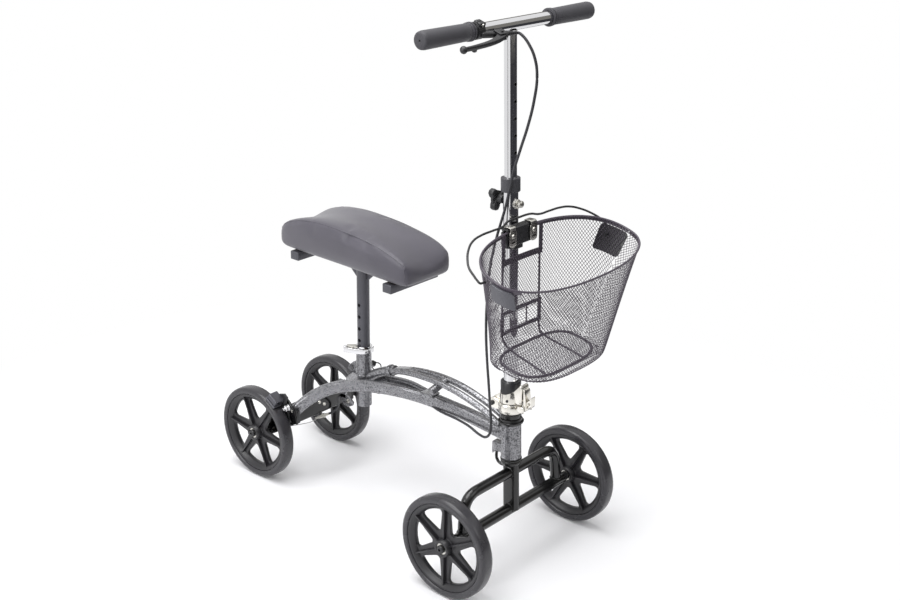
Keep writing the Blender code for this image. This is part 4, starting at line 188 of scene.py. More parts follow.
def makeVinyl():
    # Upholstery vinyl: soft pebble grain, a dull shine and colour that shifts where it is stretched
    look = {"pebble": 2.2, "crease": 0.9, "patch": 60.0, "shade": "#403e47", "stretched": "#4d4a54", "depth": 0.00012}
    material, tree, shader, place = startMaterial("upholsteryVinyl", look["shade"], 0.42,
                                                  {"Sheen Weight": 0.25, "Sheen Roughness": 0.5})
    pebble = addNode(tree, "TexVoronoi", {"Scale": perMetre(look["pebble"]), "feature": "SMOOTH_F1"},
                     {"Vector": place})
    crease = addNode(tree, "TexNoise", {"Scale": perMetre(look["crease"]), "Detail": 2.0}, {"Vector": place})
    height = addNode(tree, "Math", {"operation": "MULTIPLY_ADD", 1: 0.35},
                     {0: crease.outputs["Fac"], 2: pebble.outputs["Distance"]})
    bump = addNode(tree, "Bump", {"Strength": 0.35, "Distance": look["depth"]}, {"Height": height.outputs[0]})
    feed(tree, shader, bump=bump, **mottle(tree, place, look["patch"], (look["shade"], look["stretched"]),
                                           (0.36, 0.46), 2.0))
    return material


def makePlywood():
    # Birch plywood, sawn edge: pale and dark veneers 1.5 mm thick, one above the other
    material, tree, shader, place = startMaterial("birchPlywood", "#b08d5e", 0.7)
    layers = addNode(tree, "TexWave", {"wave_type": "BANDS", "bands_direction": "Z", "Scale": perMetre(18.0),
                                       "Distortion": 0.6}, {"Vector": place})
    paint = addNode(tree, "Mix", {"data_type": "RGBA", 6: hexColor("#8d6a3f"), 7: hexColor("#c2a274")},
                    {0: layers.outputs["Fac"]})
    feed(tree, shader, paint=paint)
    return material


hammertone = makeHammertone()
glossBlack = makeGlossBlack()
chrome = makeChrome("brightChromePlate", "#dcdcde", 0.05, 0.13)
castChrome = makeChrome("polishedCasting", "#e2dfd8", 0.12, 0.24)  # plated castings, a warmer and softer shine
zinc = makeChrome("brightZincPlate", "#c9c7c1", 0.24, 0.40)  # bolts and the brake's small parts, duller than chrome
satinBlack = makeMoulded("satinBlackPaint", "#1b1b1d", "#252528", 0.8, 0.36, 0.00004)
graphite = makeMoulded("graphitePaint", "#4c4c52", "#58585e", 0.8, 0.34, 0.00004, {"Metallic": 0.45})
nylon = makeMoulded("blackNylon", "#161618", "#202023", 1.0, 0.40, 0.00008)
darkPlastic = makeMoulded("darkGreyNylon", "#38383c", "#424247", 1.0, 0.40, 0.00008)
tyreRubber = makeMoulded("greyPolyurethaneTyre", "#2d2c30", "#38373b", 1.6, 0.26, 0.00006)
rimPlastic = makeMoulded("charcoalPolypropylene", "#1d1c1f", "#262529", 1.4, 0.36, 0.00008)
gripRubber = makeMoulded("softGripRubber", "#2e2d32", "#39383e", 1.5, 0.60, 0.00022, {"Sheen Weight": 0.10})
cableJacket = makeMoulded("blackPvcJacket", "#232327", "#303035", 1.2, 0.34, 0.00004)
meshCoat = makeMoulded("blackMeshCoat", "#403a44", "#4e4752", 2.0, 0.34, 0.00004)
vinyl = makeVinyl()
slotMaterials = {
    "hammered_grey": hammertone, "gloss_black": glossBlack, "chrome": chrome, "dark_steel": satinBlack,
    "black_plastic": nylon, "tyre_grey": tyreRubber, "rim_grey": rimPlastic, "grip_rubber": gripRubber,
    "cable_jacket": cableJacket, "seat_vinyl": vinyl, "basket_black": meshCoat, "plywood": makePlywood(),
}
slotOf = {material.name: slot for slot, material in slotMaterials.items()}
slotOf |= {castChrome.name: "chrome", zinc.name: "chrome", graphite.name: "dark_steel",
           darkPlastic.name: "black_plastic"}
for part in frame["record"]["subparts"]:
    solid = nodes[part["node"]]
    solid.data.materials.clear()
    solid.data.materials.append(slotMaterials[part["material_slot"]])
print("materials made:", len(slotOf))


# ---- shape tools

def newObject(name, data):
    item = bpy.data.objects.new(name, data)
    bpy.context.scene.collection.objects.link(item)
    return item


def evaluated(item):
    # The mesh that an object's curve or modifiers make
    bpy.context.view_layer.update()
    return bpy.data.meshes.new_from_object(item.evaluated_get(bpy.context.evaluated_depsgraph_get()))


def rawMesh(bm):
    mesh = bpy.data.meshes.new("piece")
    bm.to_mesh(mesh)
    bm.free()
    return mesh


def opened(*meshes):
    bm = bmesh.new()
    for mesh in meshes:
        bm.from_mesh(mesh)
    return bm


def together(*meshes):
    # Several closed shells in one mesh
    return rawMesh(opened(*meshes))


def meshOf(bm, weld=0.02):
    # A closed, outward-facing mesh from a bmesh
    bmesh.ops.remove_doubles(bm, verts=bm.verts, dist=weld)
    bmesh.ops.recalc_face_normals(bm, faces=bm.faces)
    return rawMesh(bm)


def moved(mesh, matrix):
    mesh.transform(matrix)
    return mesh


def facing(axis):
    return Vector(axis).to_track_quat("Z", "Y").to_matrix().to_4x4()


def aimed(mesh, at, axis):
    # Stands a spun shape on a point, along an axis
    return moved(mesh, Matrix.Translation(at) @ facing(axis))


def bevel(bm, edges, offset, segments=3, **settings):
    bmesh.ops.bevel(bm, geom=edges, offset=offset, affect="EDGES", segments=segments, profile=0.5, material=-1,
                    **settings)


def mirrored(half):
    # A profile of (radius, height) pairs and its mirror image below
    return half + [(radius, -height) for radius, height in reversed(half)]


def lathe(profile, steps, ring=False):
    # A profile spun round Z: open on the axis, or closed in itself as a ring
    bm = bmesh.new()
    points = [bm.verts.new((radius, 0, height)) for radius, height in profile]
    edges = [bm.edges.new(pair) for pair in zip(points, points[1:])]
    if ring:
        edges.append(bm.edges.new((points[-1], points[0])))
    bmesh.ops.spin(bm, geom=points + edges, cent=(0, 0, 0), axis=(0, 0, 1), angle=math.tau, steps=steps,
                   use_merge=True)
    return meshOf(bm)


def bar(radius, start, end, steps=48, edge=0):
    # A round bar between two points, its rims eased
    bm = bmesh.new()
    axis = Vector(end) - Vector(start)
    bmesh.ops.create_cone(bm, cap_ends=True, segments=steps, radius1=radius, radius2=radius, depth=axis.length)
    if edge:
        rims = [e for e in bm.edges if sorted(len(f.verts) > 4 for f in e.link_faces) == [False, True]]
        bevel(bm, rims, edge)
    return aimed(meshOf(bm), (Vector(start) + Vector(end)) / 2, axis)


def slab(size, at, turn=None, edge=1, segments=3):
    # A block with rounded edges
    bm = bmesh.new()
    bmesh.ops.create_cube(bm, size=1, matrix=Matrix.Diagonal((*size, 1)))
    if edge:
        bevel(bm, bm.edges[:], edge, segments)
    return moved(meshOf(bm), Matrix.Translation(at) @ (turn or Matrix()))


def prism(outline, thickness):
    # A flat outline in XY, thickened half to each side
    bm = bmesh.new()
    face = bm.faces.new([bm.verts.new((x, y, -thickness / 2)) for x, y in outline])
    lifted = bmesh.ops.extrude_face_region(bm, geom=[face])["geom"]
    bmesh.ops.translate(bm, verts=[v for v in lifted if isinstance(v, bmesh.types.BMVert)], vec=(0, 0, thickness))
    bmesh.ops.recalc_face_normals(bm, faces=bm.faces)
    return bm, [e for e in bm.edges if abs(e.verts[0].co.z - e.verts[1].co.z) > thickness / 2]


def plate(outline, thickness, edge, corners=0):
    # A prism with its upright corners rounded and its rims eased
    bm, uprights = prism(outline, thickness)
    if corners:
        bevel(bm, uprights, corners, 6, clamp_overlap=True)
    if edge:
        bevel(bm, [e for e in bm.edges if e.calc_face_angle(0) > 1], edge)
    return meshOf(bm)


def upright(outline, thickness, x=0, edge=1, corners=0):
    # A plate that stands across X, its outline given as (y, z)
    return moved(plate(outline, thickness, edge, corners), shift(x) @ sideOn)


def route(points, closed=False, handles="AUTO"):
    # A smooth curve through a route's own points
    curve = bpy.data.curves.new("route", "CURVE")
    curve.dimensions = "3D"
    curve.twist_mode = "Z_UP"
    spline = curve.splines.new("BEZIER")
    spline.bezier_points.add(len(points) - 1)
    for target, point in zip(spline.bezier_points, points):
        target.co = point
        target.handle_left_type = target.handle_right_type = handles
    spline.use_cyclic_u = closed
    spline.resolution_u = curve.resolution_u = 12
    return curve


def solidOf(data):
    # The closed mesh that a curve makes
    holder = newObject("holder", data)
    mesh = evaluated(holder)
    bpy.data.objects.remove(holder)
    return meshOf(opened(mesh))


def wire(points, radius, closed=False, handles="AUTO", sides=12):
    curve = route(points, closed, handles)
    curve.bevel_depth = radius
    curve.bevel_resolution = max(1, sides // 4 - 1)
    curve.use_fill_caps = not closed
    return solidOf(curve)


def sweep(points, section):
    # A section of (sideways, upwards) pairs drawn along a route
    outline = bpy.data.curves.new("section", "CURVE")
    outline.dimensions = "2D"
    spline = outline.splines.new("POLY")
    spline.points.add(len(section) - 1)
    for target, (side, up) in zip(spline.points, section):
        target.co = (side, up, 0, 1)
    spline.use_cyclic_u = True
    guide = newObject("guide", outline)
    curve = route(points)
    curve.bevel_mode = "OBJECT"
    curve.bevel_object = guide
    curve.use_fill_caps = True
    mesh = solidOf(curve)
    bpy.data.objects.remove(guide)
    return mesh


def ovalSection(width, height):
    steps, radius, straight = 12, width / 2, (height - width) / 2
    section = []
    for k in range(2 * steps + 2):
        angle = math.pi * (k if k <= steps else k - 1) / steps
        rise = math.copysign(straight, steps + 0.5 - k)
        section.append((radius * math.cos(angle), rise + radius * math.sin(angle)))
    return section


def roundCorners(corners, radius, steps):
    # An open route whose inner corners become arcs
    corners = [Vector(c) for c in corners]
    points = [corners[0]]
    for before, corner, after in zip(corners, corners[1:], corners[2:]):
        inward, outward = (before - corner), (after - corner)
        reach = min(radius / math.tan(inward.angle(outward) / 2), 0.49 * inward.length, 0.49 * outward.length)
        start, end = corner + inward.normalized() * reach, corner + outward.normalized() * reach
        for k in range(steps + 1):
            t = k / steps
            points.append(start * (1 - t) ** 2 + corner * 2 * t * (1 - t) + end * t ** 2)
    return points + [corners[-1]]


def bothSides(half):
    # A route from its mirror image on -X over its first point, in the middle, to its own end
    return [Vector((-p.x, p.y, p.z)) for p in reversed(half[1:])] + half


def combine(mesh, tools):
    # Cuts the tools away
    body = newObject("body", mesh)
    helpers = [newObject("tool", tool) for tool in tools]
    for helper in helpers:
        step = body.modifiers.new("cut", "BOOLEAN")
        step.operation = "DIFFERENCE"
        step.solver = "EXACT"
        step.object = helper
    result = evaluated(body)
    for item in (body, *helpers):
        bpy.data.objects.remove(item)
    return meshOf(opened(result))


def weldBead(at, axis, radius, size, arc=360, start=0):
    # A run of weld round a bar, with the small ripples of its puddles
    space = Matrix.Translation(at) @ facing(axis)
    full = arc == 360
    count = 40 if full else 24
    points = []
    for k in range(count if full else count + 1):
        angle = math.radians(start + arc * k / count)
        ripple = radius + 0.25 * math.sin(k * math.pi / 2)
        points.append(space @ Vector((ripple * math.cos(angle), ripple * math.sin(angle), 0)))
    return wire(points, size, closed=full, sides=8)


def finished(name, mesh, material, space, smooth):
    mesh.transform(metres @ space)
    mesh.name = name
    mesh.materials.clear()
    mesh.materials.append(material)
    mesh.shade_smooth()
    mesh.set_sharp_from_angle(angle=math.radians(smooth))
    return newObject(name, mesh)


def addPiece(name, mesh, material, body, replaced=(), space=None, slot=None, smooth=38):
    # The shape is written in its body's own space, unless another one is given
    piece = finished(name, mesh, material, home.get(body, columnSpace) if space is None else space, smooth)
    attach(piece, body)
    slot or slotOf[material.name]
    if replaced:
        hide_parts(*replaced)
    return piece


# ---- wheels

wheelLook = {"tyreR": 99.35, "rimR": 85.2, "windowR": 73.2, "webR": 76.5, "spokes": 6, "spoke": 16.5,
             "innerTip": 26.2, "round": 10.5, "rib": 3, "web": 7, "hubR": 17, "hubHalf": 15.6, "steps": 128}


def makeTyre():
    outer, rimR = wheelLook["tyreR"], wheelLook["rimR"]
    half = [(rimR, 10.4), (rimR + 0.6, 12.2), (86.8, 12.8), (87.4, 13.6), (90.5, 14), (93.8, 13.9), (96.2, 13.1),
            (97.9, 11.6), (98.8, 9.5), (outer - 0.2, 6.2), (outer, 3)]
    return moved(lathe(mirrored(half), wheelLook["steps"], ring=True), spun(90, "Y"))


def makeRim():
    look = wheelLook
    step = 360 / look["spokes"]
    bed = lathe(mirrored([(73.2, 3.2), (74.2, 4.6), (80.5, 10.4), (82.2, 11), (84.6, 11), (look["rimR"], 10.4)]),
                look["steps"], ring=True)

    # The web is a disc with a rounded window between each two spokes
    edgeAngle = math.radians(step / 2) - math.atan2(look["spoke"] / 2, look["windowR"])
    outline = [(look["innerTip"], 0)]
    for k in range(9):
        angle = -edgeAngle + 2 * edgeAngle * k / 8
        outline.append((look["windowR"] * math.cos(angle), look["windowR"] * math.sin(angle)))
    bm, uprights = prism(outline, 20)
    sharp = [Vector(outline[k]) for k in (0, 1, 9)]
    bevel(bm, [e for e in uprights if min((e.verts[0].co.xy - c).length for c in sharp) < 0.01], look["round"], 8)
    window = meshOf(bm)
    half = look["web"] / 2
    disc = lathe([(0, half), (look["webR"], half), (look["webR"], -half), (0, -half)], look["steps"])
    web = combine(disc, [moved(window.copy(), spun(step * (k + 0.5), "Z")) for k in range(look["spokes"])])
    bm = opened(web)
    lips = [e for e in bm.edges if e.is_manifold and e.calc_face_angle(0) > 1.2 and e.verts[0].co.xy.length < 75]
    bevel(bm, lips, 0.8, 2)
    web = meshOf(bm)

    end, radius = look["hubHalf"], look["hubR"]
    hub = lathe(mirrored([(11.2, 12), (11.2, end - 0.6), (11.8, end), (radius - 1.6, end), (radius - 0.4, end - 1.2),
                          (radius + 1.2, 4.2), (radius + 3, 3.4)]), 64, ring=True)
    ribs = [moved(slab((64, look["rib"], 19), (48, 0, 0), edge=0.6, segments=2), spun(step * k, "Z"))
            for k in range(look["spokes"])]
    return moved(together(bed, web, hub, *ribs), spun(90, "Y"))


def makeAxleBolt(side, inner):
    # A button head with its six-sided socket, a shaft through the hub and a spacer on the inside
    bolt = lathe([(0, 19.8), (5.2, 19.8), (6.8, 19.2), (7.8, 17.6), (8, 16.2), (5, 16.2), (5, -16), (8.8, -16.2),
                  (9, -16.8), (9, -inner), (0, -inner)], 48)
    return aimed(combine(bolt, [bar(3, (0, 0, 16.5), (0, 0, 20), 6)]), (0, 0, 0), (side, 0, 0))


def makeWheels():
    tyre, rim = makeTyre(), makeRim()
    race = together(*[lathe([(5.6, side * 13.6), (10.8, side * 13.6), (11, side * 12.8), (11, side * 7),
                             (5.6, side * 7)], 48, ring=True) for side in (-1, 1)])
    race = moved(race, spun(90, "Y"))
    axles = {  # Y, half track, spacer's end, the axle's body and bolts, how far its two wheels have rolled
        "front": (layout["frontY"], 186, 25.7, "steering", "front_axle_bolt_", (0, 0.47)),
        "rear": (layout["rearY"], 113, 27, "frame", "rear_axle_", (-0.42, 0)),
    }
    for axle, (y, track, inner, parent, bolt, rolls) in axles.items():
        for (side, sideName), roll in zip(sides, rolls):
            hand = sideName.lower()
            place, body = f"{axle}_{hand}", f"{axle}_wheel_{hand}"
            space = shift(side * track, y, layout["axleZ"])
            rolled = space @ Matrix.Rotation(roll, 4, "X")
            addPiece(place + "Tyre", tyre.copy(), tyreRubber, body, [place + "_tyre"], space=space)
            addPiece(place + "Rim", rim.copy(), rimPlastic, body, [place + "_rim"], space=rolled)
            addPiece(place + "Bearings", race.copy(), zinc, body, space=space)
            addPiece(place + "AxleBolt", makeAxleBolt(side, inner), satinBlack, parent, [bolt + hand], space=space)


makeWheels()
print("wheels made")


# ---- front axle frame

frontLook = {"topS": 77, "topR": 10.25, "barR": 11, "barHalf": 160, "footX": 140, "shoulderX": 134, "bend": 52,
             "postW": 16.5, "postDepth": 34, "postTop": 96, "let": 0.2}


def makeFrontFrame():
    look = frontLook
    topS, topR, barR, end = look["topS"], look["topR"], look["barR"], look["barHalf"]
    half = roundCorners([(0, 0, topS), (look["shoulderX"], 0, topS), (look["footX"], 0, 7)], look["bend"], 12)
    loop = wire(bothSides(half), topR, handles="VECTOR", sides=32)
    loop = combine(loop, [bar(barR + look["let"], (-200, 0, 0), (200, 0, 0))])
    # Weld beads where the loop's legs stand on the axle bar
    beads = [weldBead((side * look["footX"], 0, barR * 0.8), (side * 0.085, 0, 1), topR + 0.4, 1.6)
             for side in (-1, 1)]
    addPiece("frontLoopBar", together(loop, *beads), glossBlack, "steering", ["front_loop_bar"])

    axle = lathe(mirrored([(0, end), (8.8, end), (9.4, end - 0.6), (9.4, end - 1.2), (barR, end - 1.4)]), 64)
    addPiece("frontAxleBar", aimed(axle, (0, 0, 0), (1, 0, 0)), glossBlack, "steering", ["front_axle_bar"])

    # The post is an upright oval tube, let in over both bars
    post = sweep([(0, 0, -2), (0, 0, 30), (0, 0, 60), (0, 0, look["postTop"])],
                 ovalSection(look["postW"], look["postDepth"]))
    post = combine(post, [bar(barR + look["let"], (-50, 0, 0), (50, 0, 0)),
                          bar(topR + look["let"], (-50, 0, topS), (50, 0, topS)),
                          slab((60, 60, 30), (0, 0, -15.2), edge=0)])
    addPiece("centrePost", post, glossBlack, "steering", ["centre_post"])
    seams = []
    for side in (-1, 1):
        seams.append(weldBead((side * 7.9, 0, topS), (1, 0, 0), topR + 0.3, 1.5))
        seams.append(weldBead((side * 7.9, 0, 0), (1, 0, 0), barR + 0.3, 1.5, 200, -10))
    addPiece("frontWelds", together(*seams), glossBlack, "steering")


makeFrontFrame()
print("front axle frame made")


# ---- head tube, its bearings and the fold hinge above it

def makeHead():
    tube = lathe([(15, 108), (18.8, 108), (19.25, 108.5), (19.25, 177.1), (18.8, 177.6), (15, 177.6)], 96, ring=True)
    # A folded stop at the back, welded on
    stop = upright([(15, 130), (38.5, 131), (40, 129.5), (40.5, 106), (39, 105.5), (31, 113), (15, 112)], 15)
    stop = combine(stop, [bar(18.6, (0, 0, 90), (0, 0, 140), 64)])
    addPiece("headTube", together(tube, stop), hammertone, "frame", ["head_tube"], space=columnSpace)

    upper = lathe([(15, 177.8), (19.6, 177.8), (21.8, 178.4), (23.4, 180.2), (24.2, 182.4), (24.2, 183.6),
                   (23.6, 184.3), (22.6, 184.2), (22, 183.2), (21.4, 183.8), (20.8, 189), (20, 189.6), (15, 189.8)],
                  96, ring=True)
    addPiece("upperCup", upper, glossBlack, "frame", ["upper_headset_cup"], space=columnSpace)
    lower = lathe([(15, 103.4), (19.6, 103.4), (20.3, 104.2), (20.3, 106.2), (19.8, 107.6), (15, 107.6)], 96,
                  ring=True)
    addPiece("lowerCup", lower, glossBlack, "frame", ["lower_headset_cup"], space=columnSpace)

    crown = lathe([(0, 93), (14, 93), (17.2, 94.2), (19.2, 96.4), (19.7, 99), (19.7, 102), (19, 103), (14.2, 103.1),
                   (14.2, 190.4), (19.6, 190.6), (20, 191.2), (20, 199), (0, 199)], 96)
    hook = wire([(0, 28, 116), (0, 32.6, 111), (0, 35.6, 100), (0, 33, 90.5), (0, 26.1, 85.5), (0, 15, 85)], 2.9,
                sides=16)
    addPiece("steererCrown", together(crown, hook), glossBlack, "steering", ["steerer_crown"])


def aroundColumn(left, near):
    # A point beside the column, from its offset in the picture's plane and towards the camera
    return (-0.6556 * left - 0.7551 * near, 0.7551 * left - 0.6556 * near)


def makeHinge():
    base = lathe([(0, 199.4), (17, 199.4), (20.8, 200.4), (23, 203), (23.6, 208), (23.6, 215), (22.8, 219.2),
                  (21.4, 220.8), (0, 221)], 96)
    ears = [upright([(13, 203), (33, 202), (40, 206), (42.5, 213), (41, 220), (35, 224), (28, 223), (13, 217)], 5,
                    side * 10) for side in (-1, 1)]
    addPiece("hingeBase", together(base, *ears), castChrome, "steering", ["hinge_base"])
    pin = lathe(mirrored([(0, 15.8), (3, 15.8), (4.6, 15), (4.6, 12.8), (3, 12.4)]), 48)
    addPiece("hingePin", aimed(pin, (0, 34.5, 213), (1, 0, 0)), satinBlack, "steering", ["hinge_pin"], slot="chrome")

    # The upper casting ends in a slope, from low on the right hand to high on the left, that the collar sits on
    seat = shift(z=249.8) @ facing((-0.473, 0.172, 1))
    head = lathe([(0, 221.3), (19.8, 221.3), (21.2, 222.6), (21.2, 229), (20.6, 236), (19.8, 242), (19.2, 246),
                  (19, 266), (0, 266)], 96)
    head = combine(head, [moved(slab((120, 120, 60), (0, 0, 30), edge=0), seat)])
    knuckle = upright([(12, 222.5), (28, 208.5), (34.5, 206), (41, 209), (41.5, 217), (35, 225), (12, 240)], 13.2,
                      edge=1.2)
    block = upright([(-4, 222.5), (-29, 222.5), (-32.5, 229), (-33, 245), (-34.5, 256), (-33.5, 261), (-29, 262.5),
                     (-20, 254), (-8, 242), (-4, 238)], 22, edge=2.6)
    addPiece("hingeHead", together(head, knuckle, block), castChrome, "column", ["hinge_head"])
    collar = lathe([(13.8, 238), (19, 238), (19, 262.2), (18.3, 263.2), (13.8, 263.2)], 96, ring=True)
    collar = combine(collar, [moved(slab((120, 120, 60), (0, 0, -29.6), edge=0), seat)])
    addPiece("foldCollar", collar, satinBlack, "column", ["fold_collar"], slot="black_plastic")

    # Recessed screws in the casting, and the lever over its front
    screws = []
    for left, near, s in ((8, 19.7, 229), (-13, 16.6, 229), (-18.5, 14, 214)):
        at = Vector((*aroundColumn(left, near), s))
        out = at.xy.normalized().to_3d()
        screws.append(bar(2.6, at - 4 * out, at + out, 24, 0.3))
    addPiece("hingeScrews", together(*screws), satinBlack, "column")
    cover = upright([(-35.2, 213), (-38.5, 212), (-40, 215), (-40, 242), (-38.5, 254), (-35.2, 255.5)], 17)
    wing = upright([(-35.2, 227), (-47, 237), (-51, 242.5), (-52.8, 243), (-52.4, 226), (-50, 221.5),
                    (-35.2, 217)], 11, edge=0.8)
    wing = combine(wing, [bar(2.6, (-20, -46.8, 229), (20, -46.8, 229), 24)])
    arms = [slab((3, 14, 12), (side * 12.5, -32.5, 216), edge=0.8) for side in (-1, 1)]
    addPiece("foldLever", together(cover, wing, *arms), castChrome, "fold_lever", ["fold_lever"])


makeHead()
makeHinge()
print("head tube and hinge made")


# ---- column, stem, handlebar and grips

columnLook = {"columnR": 13.5, "columnTop": 645, "columnLow": 235.2, "stemR": 11.1, "stemLow": 455, "stemGap": 10.8,
              "wall": 1.8, "holes": 5, "holeR": 3.7, "holeTop": 808.5, "holePitch": 29.6, "barR": 11.1,
              "barHalf": 223, "gripR": 15.5, "gripInner": 103.8, "gripEnd": 224.8}


def makeColumn():
    look = columnLook
    outer, top, low, stemR, stemLow = (look[key] for key in ("columnR", "columnTop", "columnLow", "stemR", "stemLow"))
    inner, bore, stemTop = stemR + 0.3, stemR - look["wall"], layout["barS"] - look["stemGap"]
    tube = lathe([(outer - 0.4, top), (outer, top - 0.4), (outer, low), (inner, low), (inner, top - 0.3),
                  (inner + 0.3, top)], 96, ring=True)
    addPiece("columnTube", tube, chrome, "column", ["column_tube"])

    stem = lathe([(stemR, stemTop), (stemR, stemLow), (bore, stemLow), (bore, stemTop)], 96, ring=True)
    heights = [look["holeTop"] - k * look["holePitch"] for k in range(look["holes"])]
    stem = combine(stem, [bar(look["holeR"], (0, -30, s), (0, 0, s), 32) for s in heights])
    addPiece("stemTube", stem, chrome, "stem", ["stem_tube"])
    # Black rings at the drilled edges: painted shade, standing in for the dark inside of the tube that the holes show
    rims = [aimed(lathe([(2.9, -0.4), (3.8, -0.4), (4.1, 0.3), (3.4, 0.9), (2.9, 0.5)], 32, ring=True),
                  (0, 0.2 - stemR, s), (0, -1, 0)) for s in heights]
    addPiece("stemHoleShadeRings", together(*rims), nylon, "stem")


def makeColumnFittings():
    clamp = lathe([(13.7, 621), (16.6, 621), (17.3, 621.8), (17.3, 645), (16.6, 645.8), (11.4, 645.8),
                   (11.4, 645.2), (13.7, 644.6)], 96, ring=True)
    clamp = combine(clamp, [slab((3, 20, 40), (0, 18, 635), edge=0)])
    addPiece("heightClamp", clamp, darkPlastic, "column", ["height_clamp"])

    # The knob: three rounded lobes with thinner webs between them, on a hub
    lobe = plate([(-6.5, 0), (-8, 13), (-5.8, 20), (0, 22.2), (5.8, 20), (8, 13), (6.5, 0)], 12.5, edge=2.6)
    lobes = [moved(lobe.copy(), spun(angle, "Z")) for angle in (20, 140, 260)]
    disc = lathe([(0, 5), (10, 5), (11, 4), (14, 2), (14, -3), (8.2, -4.2), (7.4, -16), (0, -16)], 48)
    knob = moved(together(*lobes, disc), shift(0, 31.8, 603) @ spun(-90, "X"))
    addPiece("clampKnob", knob, nylon, "clamp_knob", ["clamp_knob"], smooth=50)

    # The locking pin: two round heads, one behind the other
    heads = []
    for v, s, radius in ((-14, 599.5, 8.6), (-22.6, 600.5, 6.2)):
        head = lathe([(0, 4), (radius * 0.45, 4), (radius - 1.2, 3.4), (radius, 2.2), (radius, -2.4),
                      (radius - 1, -3.4), (3, -3.8), (0, -3.8)], 48)
        heads.append(aimed(head, (0, v, s), (0, -1, 0)))
    addPiece("heightPin", together(*heads, bar(3, (0, -11.7, 600), (0, -24, 600), 24)), zinc, "height_pin",
             ["height_pin"])


def makeHandlebar():
    look = columnLook
    s, half, outer = layout["barS"], look["barHalf"], look["barR"]
    tube = lathe([(outer - 0.3, half), (outer, half - 0.3), (outer, 0.3 - half), (outer - 0.3, -half),
                  (outer - look["wall"], -half), (outer - look["wall"], half)], 96, ring=True)
    bead = weldBead((0, 0, s - 10.3), (0, 0, 1), 10.8, 1.3)
    addPiece("handlebarTube", together(aimed(tube, (0, 0, s), (1, 0, 0)), bead), chrome, "stem", ["handlebar"])

    # A grip: a rounded end, a barrel that thins inwards, two grooves and a flange
    end, inner, radius, bore = look["gripEnd"], look["gripInner"], look["gripR"], look["barR"] + 0.6
    profile = [(1.2, end - 2.2), (2, end - 0.3)]
    profile += [(radius - in_, end - back) for in_, back in ((5.2, 0), (2.6, 1), (1, 2.8), (0.4, 5.4), (0, 8.5),
                                                            (0.3, 45))]
    profile += [(radius + out, inner + up) for out, up in (
        (-0.8, 30), (-1, 11.2), (-1.9, 10.4), (-2, 8.6), (-0.4, 7.8), (0.2, 7), (0.2, 5.6), (-1.6, 4.9), (-1.7, 3.8),
        (0.4, 3), (0.6, 2.2), (0.6, 0.6), (0.1, 0))]
    profile += [(bore, inner), (bore, half + 0.3), (1.2, half + 0.3)]
    for side, name in sides:
        grip = aimed(lathe(profile, 64, ring=True), (0, 0, s), (side, 0, 0))
        addPiece("grip" + name, grip, gripRubber, "stem", ["grip_" + name.lower()], smooth=50)


makeColumn()
makeColumnFittings()
makeHandlebar()
print("column and handlebar made")


# ---- brake lever: X is measured along the bar from its middle, and -Y is out from the bar

leverLook = {"bandX": -88.5, "bandHalf": 7.75, "bandR": 14.8, "bore": 11.3, "pivot": (-56, -27), "blade": 8.2}


def makeBrakeLever():
    look = leverLook
    x, half, radius = look["bandX"], look["bandHalf"], look["bandR"]
    band = lathe(mirrored([(11.4, half), (radius - 0.8, half), (radius, half - 0.8)]), 64, ring=True)
    band = aimed(band, (x, 0, 0), (1, 0, 0))
    barTool = bar(look["bore"], (-120, 0, 0), (-20, 0, 0), 64)
    slit = slab((20, 1.4, 20), (x, -3, 20), edge=0)
    ears = combine(slab((14.5, 16, 12), (x, -3, 11.8), edge=2), [slit, barTool])
    screw = bar(3, (x, -12.5, 13.8), (x, 6.2, 13.8), 24, 0.5)
    arm = slab((43, 11.8, 9.8), (-70.5, -17.5, -1), spun(-12, "Z"), 3)
    cheeks = [slab((20.5, 17.2, 2.4), (-56, -25.5, up * 5.3), edge=0.8) for up in (-1, 1)]
    web = slab((8, 16, 9.2), (-45, -24, 0), edge=1.2)
    inside = bar(look["bore"], (-100, 0, 0), (-20, 0, 0), 64)
    body = together(band, ears, combine(arm, [inside]), *cheeks, combine(web, [inside]))
    addPiece("leverBracket", body, nylon, "stem", ["lever_bracket"], space=barSpace)
    addPiece("leverClampScrew", screw, zinc, "stem", space=barSpace)

    # Cable adjuster: a knurled barrel, its lock ring and the ferrule of the jacket
    barrel = lathe([(0, 25.4), (3, 25.4), (3.2, 24.8), (3.2, 17), (4.1, 16.6), (4.1, 8), (3.4, 7.6), (3.4, 6.2),
                    (4.6, 5.8), (4.6, 2.4), (3.2, 2), (3.2, 0), (0, 0)], 32)
    addPiece("leverAdjuster", aimed(barrel, (-44, -24.3, 0), (25.2, -4.7, 0)), nylon, "stem", space=barSpace)

    # The blade sweeps forward from its pivot, then runs beside the grip to its ball
    outline = [(-49.5, -24), (-49, -32), (-54, -36.8), (-62, -39.2), (-72, -42.4), (-82, -44.8), (-92, -46.6),
               (-106, -48.4), (-120, -49.6), (-136, -50.4), (-152, -50.8), (-168, -50.8), (-168, -46.6),
               (-152, -45.8), (-136, -44.4), (-120, -42.8), (-106, -40.6), (-92, -37.2), (-80, -33.4), (-70, -28.8),
               (-64, -22.2), (-58, -21.8)]
    blade = plate(outline, look["blade"], edge=1.6)
    bm = bmesh.new()
    bmesh.ops.create_uvsphere(bm, u_segments=32, v_segments=20, radius=6.4)
    ball = moved(meshOf(bm), shift(-173, -48.6) @ Matrix.Diagonal((0.92, 1, 1, 1)))
    stop = slab((7.5, 6.2, 7.5), (-142, -46.2, -5.2), edge=1.6)
    pivot = bar(2.6, (*look["pivot"], -8.6), (*look["pivot"], 8.6), 24, 0.6)
    addPiece("brakeLeverBlade", together(blade, ball, stop, pivot), satinBlack, "brake_lever", ["brake_lever"],
             space=barSpace)


makeBrakeLever()
print("brake lever made")


# ---- frame rails

